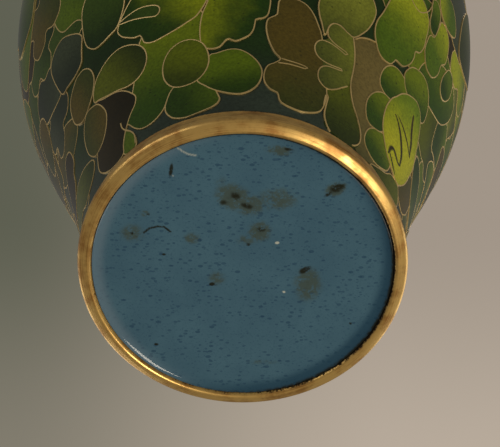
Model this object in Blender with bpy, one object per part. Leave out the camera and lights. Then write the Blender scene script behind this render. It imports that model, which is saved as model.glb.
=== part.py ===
"""Cloisonne vase on a gilt foot ring, built up in layers as an enameller builds it.

A copper body in five brazed sections and a base plate carries everything. Leaf outlines of flat gilt
wire stand on the copper, each filled with its own cell of leaf enamel. Ground enamel fills the rest
and is polished flush with the wires. Counter enamel coats the inside and the underside. A gilt ring
is the foot, and a gilt bead binds the lip.

Sizes are in millimetres and become metres when a mesh is made. +Z is up, and the origin is the centre
of the foot ring's resting face. A place on the body is given by its angle from the front, which faces
-Y, its length along the profile from the foot ring, and its depth below the polished surface.
"""

import math

import bmesh
import bpy
import numpy as np
from mathutils import Vector
from mathutils.geometry import delaunay_2d_cdt

MM = 0.001

# The polished surface, from the foot ring up: radii, and the rise from each to the next
FOOT_RADIUS = 35.2
FOOT_HEIGHT = 6.9
BELLY_RISE = 118.1
BELLY_RADIUS = 61.6
SHOULDER_RISE = 76.0
WAIST_RADIUS = 20.5
LIP_RISE = 25.0
LIP_RADIUS = 30.0
FOOT_SLOPE = 81.8  # degrees above the horizontal
LIP_SLOPE = 38.0

# Bezier handles of each stretch of the profile, as shares of its rise
FOOT_HANDLES = (0.50, 0.43)
SHOULDER_HANDLES = (0.66, 0.34)
LIP_HANDLES = (0.50, 0.27)

# Layers, from the polished surface inwards
GROUND_ENAMEL = 1.2
COPPER = 0.95
LINING_ENAMEL = 0.75
LAYER_GAP = 0.35

# Brazed seams of the copper body, as lengths along the profile
FOOT_SEAM = 62.0
BELLY_SEAM = 121.4
SHOULDER_SEAM = 160.0
NECK_SEAM = 197.0
SEAM_GAP = 0.35

# Foot ring and what closes it
RING_WIDTH = 3.2
RING_BULGE = 0.8  # how far the ring stands out past the enamel
RING_BULGE_HEIGHT = 1.6
RING_CHAMFER = 0.6
REST_WIDTH = 1.4
RING_GAP = 0.35
BASE_RECESS = 1.6  # from the resting face up to the base enamel
BASE_ENAMEL = 1.1
BASE_COPPER = 0.95

# Bead round the mouth
BEAD_RADIUS = 2.3
BEAD_SIDES = 10
BEAD_GAP = 0.35

# Leaf wires and the cells inside them
WIRE_WIDTH = 0.5
WIRE_GAP = 0.3
CELL_SPACING = 8.0
CURVE_STEPS = 2  # between two points of an outline
CUTTER_OVERRUN = 0.8
FACET_ALLOWANCE = 0.3  # keeps the flat facets under a leaf clear of the curved copper

# Facets of the turned pieces
TURNED_STEPS = 32
RING_SPACING = 28.0
RING_TURN = 18.0  # degrees that the profile may turn between two rings
PROFILE_STEPS = 48

# Leaf outlines: x round the vase and y up it, drawn anticlockwise
BUD_WIDTH = 10.8
BUD_HEIGHT = 16.0
BUD_POINTS = 8
LEAF_SHAPES = {
    "bud": [
        (BUD_WIDTH / 2 * math.cos(math.tau * i / BUD_POINTS), BUD_HEIGHT / 2 * math.sin(math.tau * i / BUD_POINTS))
        for i in range(BUD_POINTS)
    ],
    "drop": [(-9.7, -0.5), (-5.0, -3.4), (1.0, -6.5), (6.6, -6.2), (8.8, -0.8), (6.4, 5.2), (1.0, 8.2), (-5.4, 5.4)],
    "oak": [
        (0.0, -13.0), (3.8, -9.6), (5.4, -7.6), (7.4, -2.0), (6.0, 2.2), (7.2, 6.6),
        (2.6, 12.4), (-3.4, 12.6), (-6.2, 6.4), (-6.6, 0.0), (-5.0, -8.6),
    ],
    "lance": [
        (0.6, -17.2), (5.4, -12.4), (8.2, -4.0), (8.6, 4.6), (4.4, 13.6),
        (-1.4, 16.6), (-6.2, 11.6), (-8.6, 2.4), (-7.6, -7.0), (-3.8, -14.4),
    ],
    "lobed": [
        (0.0, -14.5), (6.4, -10.6), (8.0, -7.4), (12.4, -4.0), (12.6, 3.4), (9.2, 6.6), (8.0, 12.2),
        (1.4, 14.8), (-5.6, 13.4), (-8.4, 7.4), (-12.6, 3.4), (-11.8, -4.2), (-7.2, -7.6), (-5.4, -12.0),
    ],
}

# The leaves that lie uppermost: name, shape, angle, length up the profile, turn in degrees, size
LEAVES = [
    ("bud_low_front", "bud", -19.4, 20.9, 0, 1.0),
    ("drop_low_left", "drop", -45.0, 30.5, 0, 1.0),
    ("lance_low_right", "lance", 65.5, 24.6, 0, 1.0),
    ("oak_front_right", "oak", 50.2, 56.0, 0, 1.0),
    ("drop_low_back", "drop", 178.0, 32.0, 200, 1.15),
    ("oak_low_back_right", "oak", 120.0, 34.0, -18, 1.1),
    ("lance_low_back_left", "lance", -124.0, 30.0, 14, 1.0),
    ("lobed_belly_front", "lobed", 4.0, 88.0, 12, 1.1),
    ("lance_belly_right", "lance", 84.0, 98.0, -24, 1.15),
    ("lobed_belly_back", "lobed", 152.0, 96.0, -150, 1.2),
    ("oak_belly_back_left", "oak", -140.0, 92.0, 24, 1.3),
    ("lobed_belly_left", "lobed", -72.0, 102.0, 165, 1.15),
    ("drop_shoulder_front", "drop", 20.0, 146.0, -60, 1.2),
    ("oak_shoulder_right", "oak", 108.0, 148.0, 30, 1.1),
    ("lobed_shoulder_back", "lobed", -166.0, 150.0, 10, 0.9),
    ("lance_shoulder_left", "lance", -94.0, 148.0, -12, 0.9),
]

# Colour, roughness and metallic value of each finish
FINISHES = {
    "copper": ((0.72, 0.35, 0.20), 0.35, 1.0),
    "gilt": ((0.80, 0.52, 0.18), 0.28, 1.0),
    "ground": ((0.03, 0.09, 0.05), 0.15, 0.0),
    "leaf": ((0.16, 0.26, 0.02), 0.15, 0.0),
    "blue": ((0.07, 0.19, 0.26), 0.15, 0.0),
}


def clear_scene():
    for obj in list(bpy.data.objects):
        bpy.data.objects.remove(obj)


def add_object(name, mesh, finish):
    """Put a mesh into the scene with a material of its own."""
    colour, roughness, metallic = FINISHES[finish]
    material = bpy.data.materials.new(name)
    material.use_nodes = True
    shader = material.node_tree.nodes["Principled BSDF"]
    shader.inputs["Base Color"].default_value = (*colour, 1)
    shader.inputs["Roughness"].default_value = roughness
    shader.inputs["Metallic"].default_value = metallic
    mesh.materials.append(material)
    obj = bpy.data.objects.new(name, mesh)
    bpy.context.scene.collection.objects.link(obj)
    return obj


# ---------------------------------------------------------------- profile


def bezier(*corners):
    """Points of a cubic Bezier, without its last one."""
    t = np.linspace(0, 1, PROFILE_STEPS, endpoint=False)[:, None]
    a, b, c, d = (np.array(corner) for corner in corners)
    return (1 - t) ** 3 * a + 3 * t * (1 - t) ** 2 * b + 3 * t**2 * (1 - t) * c + t**3 * d


def polished_profile():
    """Radius and height of the polished surface, from the foot ring up to the lip."""
    foot = np.array((FOOT_RADIUS, FOOT_HEIGHT))
    belly = np.array((BELLY_RADIUS, FOOT_HEIGHT + BELLY_RISE))
    waist = np.array((WAIST_RADIUS, belly[1] + SHOULDER_RISE))
    lip = np.array((LIP_RADIUS, waist[1] + LIP_RISE))
    upright = np.array((0, 1))
    foot_way = np.array((math.cos(math.radians(FOOT_SLOPE)), math.sin(math.radians(FOOT_SLOPE))))
    lip_way = np.array((math.cos(math.radians(LIP_SLOPE)), math.sin(math.radians(LIP_SLOPE))))
    stretches = (
        (foot, foot_way, FOOT_HANDLES, BELLY_RISE, upright, belly),
        (belly, upright, SHOULDER_HANDLES, SHOULDER_RISE, upright, waist),
        (waist, upright, LIP_HANDLES, LIP_RISE, lip_way, lip),
    )
    points = []
    for start, leaving, handles, rise, arriving, end in stretches:
        after_start = start + leaving * handles[0] * rise
        before_end = end - arriving * handles[1] * rise
        points.append(bezier(start, after_start, before_end, end))
    return np.vstack([*points, lip])


def shared_rings():
    """Lengths, points and outward normals of the rings that every layer shares.

    The rings stand at every seam, and closer together where the profile bends.
    """
    profile = polished_profile()
    steps = np.diff(profile, axis=0)
    spans = np.hypot(*steps.T)
    ways = steps / spans[:, None]
    turns = np.degrees(np.arccos(np.clip(np.sum(ways[1:] * ways[:-1], axis=1), -1, 1)))
    lengths = np.concatenate([[0], np.cumsum(spans)])
    effort = np.concatenate([[0], np.cumsum(spans / RING_SPACING + np.append(0, turns) / RING_TURN)])
    chosen = []
    ends = (0, FOOT_SEAM, BELLY_SEAM, SHOULDER_SEAM, NECK_SEAM, lengths[-1])
    for low, high in zip(ends, ends[1:]):
        first, last = np.interp((low, high), lengths, effort)
        shares = np.linspace(first, last, math.ceil(last - first), endpoint=False)
        chosen += list(np.interp(shares, effort, lengths))
    chosen.append(lengths[-1])
    steps_at = np.minimum(np.searchsorted(lengths, chosen, side="right") - 1, len(ways) - 1)
    points = profile[steps_at] + ways[steps_at] * (chosen - lengths[steps_at])[:, None]
    normals = np.stack([ways[steps_at, 1], -ways[steps_at, 0]], axis=1)
    return np.array(chosen), points, normals


RINGS, RING_POINTS, RING_NORMALS = shared_rings()
TOP = RINGS[-1]


def section(length, depth):
    """Radius and height at a length along the profile and a depth below it."""
    faces = (RING_POINTS - RING_NORMALS * depth).T
    return np.array([np.interp(length, RINGS, values) for values in faces])


def layer_points(low, high, depth):
    """One face of a layer, from low to high along the profile."""
    lengths = [low, *RINGS[(RINGS > low) & (RINGS < high)], high]
    return [section(length, depth) for length in lengths]


def on_body(angle, length, depth):
    """A point in space, in metres."""
    radius, height = section(length, depth)
    turn = math.radians(angle - 90)
    return Vector((radius * math.cos(turn), radius * math.sin(turn), height)) * MM


# ---------------------------------------------------------------- turned pieces


def turned(name, outline, finish, is_loop=True):
    """A solid of revolution. Its outline runs down the outer side, top to bottom, and up the inner one."""
    mesh = bpy.data.meshes.new(name)
    edges = [(i, i + 1) for i in range(len(outline) - 1)]
    if is_loop:
        edges.append((len(outline) - 1, 0))
    mesh.from_pydata([(radius * MM, 0, height * MM) for radius, height in outline], edges, [])
    screw = add_object(name, mesh, finish).modifiers.new("turn", "SCREW")
    screw.steps = TURNED_STEPS
    screw.render_steps = TURNED_STEPS
    screw.use_merge_vertices = True
    screw.merge_threshold = 0.00001
    screw.use_smooth_shade = True


def layer(name, low, high, depth, thickness, finish):
    """A layer of the body's wall between two lengths along the profile."""
    outer = layer_points(low, high, depth)
    inner = layer_points(low, high, depth + thickness)
    turned(name, outer[::-1] + inner, finish)


def make_copper_body():
    depth = GROUND_ENAMEL + LAYER_GAP
    half = SEAM_GAP / 2
    layer("copper_foot", 0, FOOT_SEAM - half, depth, COPPER, "copper")
    layer("copper_belly", FOOT_SEAM + half, BELLY_SEAM - half, depth, COPPER, "copper")
    layer("copper_shoulder", BELLY_SEAM + half, SHOULDER_SEAM - half, depth, COPPER, "copper")
    layer("copper_upper_shoulder", SHOULDER_SEAM + half, NECK_SEAM - half, depth, COPPER, "copper")
    layer("copper_neck", NECK_SEAM + half, TOP, depth, COPPER, "copper")


RING_OUTER = FOOT_RADIUS + RING_BULGE
RING_INNER = RING_OUTER - RING_WIDTH
RING_TOP = FOOT_HEIGHT - RING_GAP
BASE_RADIUS = RING_INNER - RING_GAP
PLATE_HEIGHT = BASE_RECESS + BASE_ENAMEL + LAYER_GAP
LINING_FLOOR = PLATE_HEIGHT + BASE_COPPER + LAYER_GAP


def make_foot_ring():
    """A wall that swells to a bead and stands on a narrow flat."""
    middle = (RING_OUTER + RING_INNER) / 2
    mid_height = (RING_TOP + RING_BULGE_HEIGHT) / 2
    outline = [
        (FOOT_RADIUS, RING_TOP),
        (FOOT_RADIUS + RING_BULGE / 3, mid_height),
        (RING_OUTER, RING_BULGE_HEIGHT),
        (RING_OUTER - RING_CHAMFER / 3, RING_CHAMFER),
        (middle + REST_WIDTH / 2, 0),
        (middle - REST_WIDTH / 2, 0),
        (RING_INNER, RING_CHAMFER),
        (RING_INNER, RING_TOP),
    ]
    turned("foot_ring", outline, "gilt")


def disc(name, low, thickness, finish):
    high = low + thickness
    outline = [(0, high), (BASE_RADIUS, high), (BASE_RADIUS, low), (0, low)]
    turned(name, outline, finish, is_loop=False)


def make_base():
    """The copper plate that closes the foot, and the blue enamel under it."""
    disc("base_enamel", BASE_RECESS, BASE_ENAMEL, "blue")
    disc("copper_base_plate", PLATE_HEIGHT, BASE_COPPER, "copper")


def make_lining():
    """Counter enamel over the whole inside, down into the foot and across the base plate."""
    depth = GROUND_ENAMEL + COPPER + 2 * LAYER_GAP
    outer = layer_points(0, TOP, depth)
    inner = layer_points(0, TOP, depth + LINING_ENAMEL)
    foot_radius = min(BASE_RADIUS, outer[0][0])
    under = [(foot_radius, FOOT_HEIGHT), (foot_radius, LINING_FLOOR), (0, LINING_FLOOR)]
    over = [(0, LINING_FLOOR + LINING_ENAMEL), (foot_radius - LINING_ENAMEL, LINING_FLOOR + LINING_ENAMEL)]
    turned("lining_enamel", (over + inner + outer[::-1] + under), "blue", is_loop=False)


def make_mouth_bead():
    """A round bead on the ends of all the layers, centred on the wall."""
    wall = GROUND_ENAMEL + COPPER + LINING_ENAMEL + 2 * LAYER_GAP
    across = section(TOP, wall) - section(TOP, 0)
    across /= np.hypot(*across)
    onwards = np.array((across[1], -across[0]))
    centre = section(TOP, wall / 2) + onwards * (BEAD_RADIUS + BEAD_GAP)
    angles = [-math.tau * i / BEAD_SIDES for i in range(BEAD_SIDES)]
    outline = [centre + BEAD_RADIUS * np.array((math.cos(a), math.sin(a))) for a in angles]
    turned("mouth_bead", outline, "gilt")


# ---------------------------------------------------------------- leaves


def smooth_outline(points):
    """A closed Catmull-Rom curve through the points."""
    a, b, c, d = (np.roll(points, shift, axis=0) for shift in (1, 0, -1, -2))
    curve = []
    for step in range(CURVE_STEPS):
        t = step / CURVE_STEPS
        curve.append(b + ((c - a) * t + (2 * a - 5 * b + 4 * c - d) * t**2 + (3 * b - a - 3 * c + d) * t**3) / 2)
    return np.stack(curve, axis=1).reshape(-1, 2)


def grown(outline, distance):
    """The outline moved outwards by a distance, with mitred corners."""
    before = outline - np.roll(outline, 1, axis=0)
    before /= np.linalg.norm(before, axis=1, keepdims=True)
    along = before + np.roll(before, -1, axis=0)
    outwards = np.stack([along[:, 1], -along[:, 0]], axis=1)
    return outline + outwards * 2 * distance / np.sum(along**2, axis=1, keepdims=True)


def is_inside(point, outline):
    """Whether a ray from the point crosses the outline an odd number of times."""
    x, y = point
    crossings = 0
    for (x0, y0), (x1, y1) in zip(outline, np.roll(outline, -1, axis=0)):
        if (y0 > y) != (y1 > y) and x < x0 + (y - y0) / (y1 - y0) * (x1 - x0):
            crossings += 1
    return crossings % 2 == 1


def grid_inside(outline):
    """Grid points well inside the outline, which let a cell follow the body's curve."""
    kept = grown(outline, -CELL_SPACING / 3)
    count = math.ceil(np.abs(outline).max() / CELL_SPACING)
    steps = [i * CELL_SPACING for i in range(-count, count + 1)]
    return [(x, y) for x in steps for y in steps if is_inside((x, y), kept)]


LEAF_DEPTH = GROUND_ENAMEL - FACET_ALLOWANCE


class Leaf:
    """One leaf's outline and its place on the body."""

    def __init__(self, name, shape, angle, length, turn, size):
        self.name = name
        self.angle = angle
        self.length = length
        cos, sin = math.cos(math.radians(turn)), math.sin(math.radians(turn))
        turned_points = np.array(LEAF_SHAPES[shape]) @ np.array(((cos, sin), (-sin, cos))) * size
        self.outline = smooth_outline(turned_points)

    def place(self, point, depth):
        length = self.length + point[1]
        angle = self.angle + math.degrees(point[0] / section(length, 0)[0])
        return on_body(angle, length, depth)

    def plate(self, distance, shallow, deep):
        """A closed mesh that fills the outline, grown by a distance, between two depths."""
        edge = grown(self.outline, distance)
        points = [Vector(point) for point in [*edge, *grid_inside(edge)]]
        points, _, faces, *_ = delaunay_2d_cdt(points, [], [list(range(len(edge)))], 1, 1e-5)
        mesh = bmesh.new()
        top = [mesh.verts.new(self.place(point, shallow)) for point in points]
        bottom = [mesh.verts.new(self.place(point, deep)) for point in points]
        for face in faces:
            mesh.faces.new([top[i] for i in face])
            mesh.faces.new([bottom[i] for i in reversed(face)])
        below = dict(zip(top, bottom))
        for edge in [edge for edge in mesh.edges if edge.is_boundary and edge.verts[0] in below]:
            a, b = edge.verts
            mesh.faces.new([b, a, below[a], below[b]])
        bmesh.ops.recalc_face_normals(mesh, faces=mesh.faces)
        return mesh

    def wire(self):
        """A closed mesh of the flat wire that follows the outline."""
        outer = grown(self.outline, WIRE_WIDTH / 2)
        inner = grown(self.outline, -WIRE_WIDTH / 2)
        corners = ((outer, 0), (inner, 0), (inner, LEAF_DEPTH), (outer, LEAF_DEPTH))
        mesh = bmesh.new()
        rails = [[mesh.verts.new(self.place(point, depth)) for point in side] for side, depth in corners]
        for rail, next_rail in zip(rails, rails[1:] + rails[:1]):
            for i in range(len(rail)):
                mesh.faces.new([rail[i - 1], rail[i], next_rail[i], next_rail[i - 1]])
        bmesh.ops.recalc_face_normals(mesh, faces=mesh.faces)
        return mesh


def object_from(working_mesh, name, finish):
    mesh = bpy.data.meshes.new(name)
    working_mesh.to_mesh(mesh)
    working_mesh.free()
    return add_object(name, mesh, finish)


def make_leaves(leaves):
    """Each leaf's wire, and the enamel cell inside it."""
    for leaf in leaves:
        object_from(leaf.wire(), "wire_" + leaf.name, "gilt")
        cell = leaf.plate(-WIRE_WIDTH / 2 - WIRE_GAP, 0, LEAF_DEPTH)
        object_from(cell, "enamel_" + leaf.name, "leaf")


def make_ground_enamel(leaves):
    """The ground between the leaves, with an opening through it for each leaf's wire."""
    layer("ground_enamel", 0, TOP, 0, GROUND_ENAMEL, "ground")
    for leaf in leaves:
        plate = leaf.plate(WIRE_WIDTH / 2 + WIRE_GAP, -CUTTER_OVERRUN, GROUND_ENAMEL + CUTTER_OVERRUN)
        cutter = object_from(plate, "opening_" + leaf.name, "ground")
        cutter.hide_render = True
        cutter.display_type = "WIRE"
        cut = bpy.data.objects["ground_enamel"].modifiers.new(cutter.name, "BOOLEAN")
        cut.operation = "DIFFERENCE"
        cut.solver = "EXACT"
        cut.object = cutter


def main():
    clear_scene()
    leaves = [Leaf(*row) for row in LEAVES]
    make_foot_ring()
    make_base()
    make_copper_body()
    make_lining()
    make_ground_enamel(leaves)
    make_leaves(leaves)
    make_mouth_bead()


main()
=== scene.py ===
"""Cloisonne vase: foliage enamel over copper, with a gilt foot ring, a blue underside and a gilt mouth.

A place on the wall is (angle, length): degrees round from the front, which faces -Y, and millimetres
along the wall's profile up from the foot ring. Depth is millimetres below the polished surface.
"""

import math

import bpy
import numpy as np
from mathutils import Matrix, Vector


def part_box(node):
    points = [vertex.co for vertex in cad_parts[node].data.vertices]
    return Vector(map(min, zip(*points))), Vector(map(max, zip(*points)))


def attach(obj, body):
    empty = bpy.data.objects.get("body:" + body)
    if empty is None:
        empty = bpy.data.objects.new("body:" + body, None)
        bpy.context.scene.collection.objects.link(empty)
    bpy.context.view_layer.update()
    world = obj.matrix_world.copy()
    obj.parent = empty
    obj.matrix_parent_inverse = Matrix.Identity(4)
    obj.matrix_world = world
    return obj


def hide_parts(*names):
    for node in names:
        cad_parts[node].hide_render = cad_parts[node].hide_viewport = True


bl_info = {
    "name": "Cloisonne Vase",
    "version": (1, 0, 0),
    "blender": (4, 5, 0),
    "location": "3D View > Sidebar > Vase",
    "description": "Lays the enamel, wires and gilding of a cloisonne vase over its copper body",
    "category": "Object",
}

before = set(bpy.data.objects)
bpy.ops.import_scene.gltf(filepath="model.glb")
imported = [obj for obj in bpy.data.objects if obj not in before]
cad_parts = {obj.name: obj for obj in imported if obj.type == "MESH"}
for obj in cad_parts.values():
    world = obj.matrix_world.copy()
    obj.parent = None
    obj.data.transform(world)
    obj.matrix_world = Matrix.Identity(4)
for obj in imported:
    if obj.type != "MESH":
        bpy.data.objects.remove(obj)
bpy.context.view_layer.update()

MM = 0.001


def node_box(node):
    """Lowest and highest corner of a CAD node, in millimetres."""
    return [np.array(corner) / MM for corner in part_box(node)]


WALL_LOW, WALL_HIGH = node_box("ground_enamel")
_, RING_HIGH = node_box("foot_ring")
BEAD_LOW, BEAD_HIGH = node_box("mouth_bead")
BASE_LOW, BASE_HIGH = node_box("base_enamel")
LINING_LOW, _ = node_box("lining_enamel")

# Profile of the polished wall, from the foot ring up: radii, rises, and slopes in degrees
FOOT_RADIUS = 35.2
FOOT_HEIGHT = WALL_LOW[2]
FOOT_SLOPE = 81.8
BELLY_RADIUS = WALL_HIGH[0]
BELLY_RISE = 118.1
SHOULDER_RISE = 76.0
WAIST_RADIUS = 20.5
LIP_RISE = 25.0
LIP_RADIUS = 30.0
LIP_SLOPE = 38.0

# Bezier handles of each stretch of the profile, as shares of its rise
FOOT_HANDLES = (0.50, 0.43)
SHOULDER_HANDLES = (0.66, 0.34)
LIP_HANDLES = (0.50, 0.27)

# Depths below the polished surface
FRONT_DEPTH = 0.30  # level 0 of the leaves drawn one by one
UNDER_DEPTH = 0.42  # level 0 of the lower leaves
LAYER_STEP = 0.025  # from one level to the next
LEAF_THICKNESS = 0.30
GROUND_DEPTH = 0.44
GROUND_BACK = 1.2
LINING_DEPTH = 2.85
LINING_BACK = 3.6

# Steps of the meshes
WALL_ROWS = 130
WALL_COLUMNS = 300
LINING_ROWS = 110
LINING_COLUMNS = 240
LINING_HOLE = 0.4  # radius of the pinhole left in the middle of the lining's floor
EDGE_MARGIN = 0.25  # that leaves and wires keep from the wall's two ends
ROW_SPACING = 1.7  # between the rings of a leaf
LOWER_COARSER = 1.4  # how much longer the steps of the lower leaves are

# Leaf colours as (lighter, darker) pairs
PALETTES = {
    "sunlit": ((0.33, 0.38, 0.006), (0.018, 0.048, 0.004)),
    "yellow": ((0.34, 0.38, 0.012), (0.075, 0.135, 0.006)),
    "lemon": ((0.46, 0.46, 0.014), (0.14, 0.22, 0.008)),
    "lime": ((0.14, 0.19, 0.005), (0.030, 0.070, 0.004)),
    "bright": ((0.100, 0.155, 0.004), (0.022, 0.052, 0.003)),
    "green": ((0.085, 0.135, 0.006), (0.022, 0.052, 0.004)),
    "deep": ((0.040, 0.075, 0.008), (0.012, 0.030, 0.005)),
    "moss": ((0.110, 0.140, 0.004), (0.040, 0.058, 0.003)),
    "olive": ((0.100, 0.120, 0.006), (0.026, 0.040, 0.005)),
    "khaki": ((0.200, 0.220, 0.024), (0.075, 0.090, 0.014)),
    "tan": ((0.165, 0.125, 0.036), (0.070, 0.074, 0.020)),
    "brown": ((0.095, 0.068, 0.010), (0.042, 0.054, 0.008)),
    "umber": ((0.027, 0.019, 0.005), (0.012, 0.010, 0.003)),
    "slate": ((0.044, 0.058, 0.030), (0.018, 0.028, 0.015)),
}

# Leaf outlines in millimetres, x round the vase and y up it, drawn anticlockwise
LEAF_SHAPES = {
    "drop": [
        (-9.7, -0.5), (-5.0, -3.4), (1.0, -6.5), (6.6, -6.2), (8.8, -0.8), (6.4, 5.2), (1.0, 8.2),
        (-5.4, 5.4),
    ],
    "oak": [
        (0.0, -13.0), (3.8, -9.6), (5.4, -7.6), (7.4, -2.0), (6.0, 2.2), (7.2, 6.6),
        (2.6, 12.4), (-3.4, 12.6), (-6.2, 6.4), (-6.6, 0.0), (-5.0, -8.6),
    ],
    "lance": [
        (0.6, -17.2), (5.4, -12.4), (8.2, -4.0), (8.6, 4.6), (4.4, 13.6),
        (-1.4, 16.6), (-6.2, 11.6), (-8.6, 2.4), (-7.6, -7.0), (-3.8, -14.4),
    ],
    "lobed": [
        (0.0, -14.5), (6.4, -10.6), (8.0, -7.4), (12.4, -4.0), (12.6, 3.4), (9.2, 6.6), (8.0, 12.2),
        (1.4, 14.8), (-5.6, 13.4), (-8.4, 7.4), (-12.6, 3.4), (-11.8, -4.2), (-7.2, -7.6), (-5.4, -12.0),
    ],
}

# Leaves that stand for CAD nodes: name, shape, angle, length, turn, size, palette, side the light is on
UPPER_LEAVES = [
    ("drop_low_back", "drop", 178.0, 32.0, 200, 1.15, "green", 60),
    ("oak_low_back_right", "oak", 120.0, 34.0, -18, 1.1, "brown", 120),
    ("lance_low_back_left", "lance", -124.0, 30.0, 14, 1.0, "bright", 80),
    ("lobed_belly_front", "lobed", 4.0, 88.0, 12, 1.1, "green", 70),
    ("lance_belly_right", "lance", 84.0, 98.0, -24, 1.15, "olive", 100),
    ("lobed_belly_back", "lobed", 152.0, 96.0, -150, 1.2, "brown", 200),
    ("oak_belly_back_left", "oak", -140.0, 92.0, 24, 1.3, "yellow", 110),
    ("lobed_belly_left", "lobed", -72.0, 102.0, 165, 1.15, "green", 30),
    ("drop_shoulder_front", "drop", 20.0, 146.0, -60, 1.2, "olive", 140),
    ("oak_shoulder_right", "oak", 108.0, 148.0, 30, 1.1, "green", 90),
    ("lobed_shoulder_back", "lobed", -166.0, 150.0, 10, 0.9, "olive", 60),
    ("lance_shoulder_left", "lance", -94.0, 148.0, -12, 0.9, "yellow", 100),
]

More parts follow.
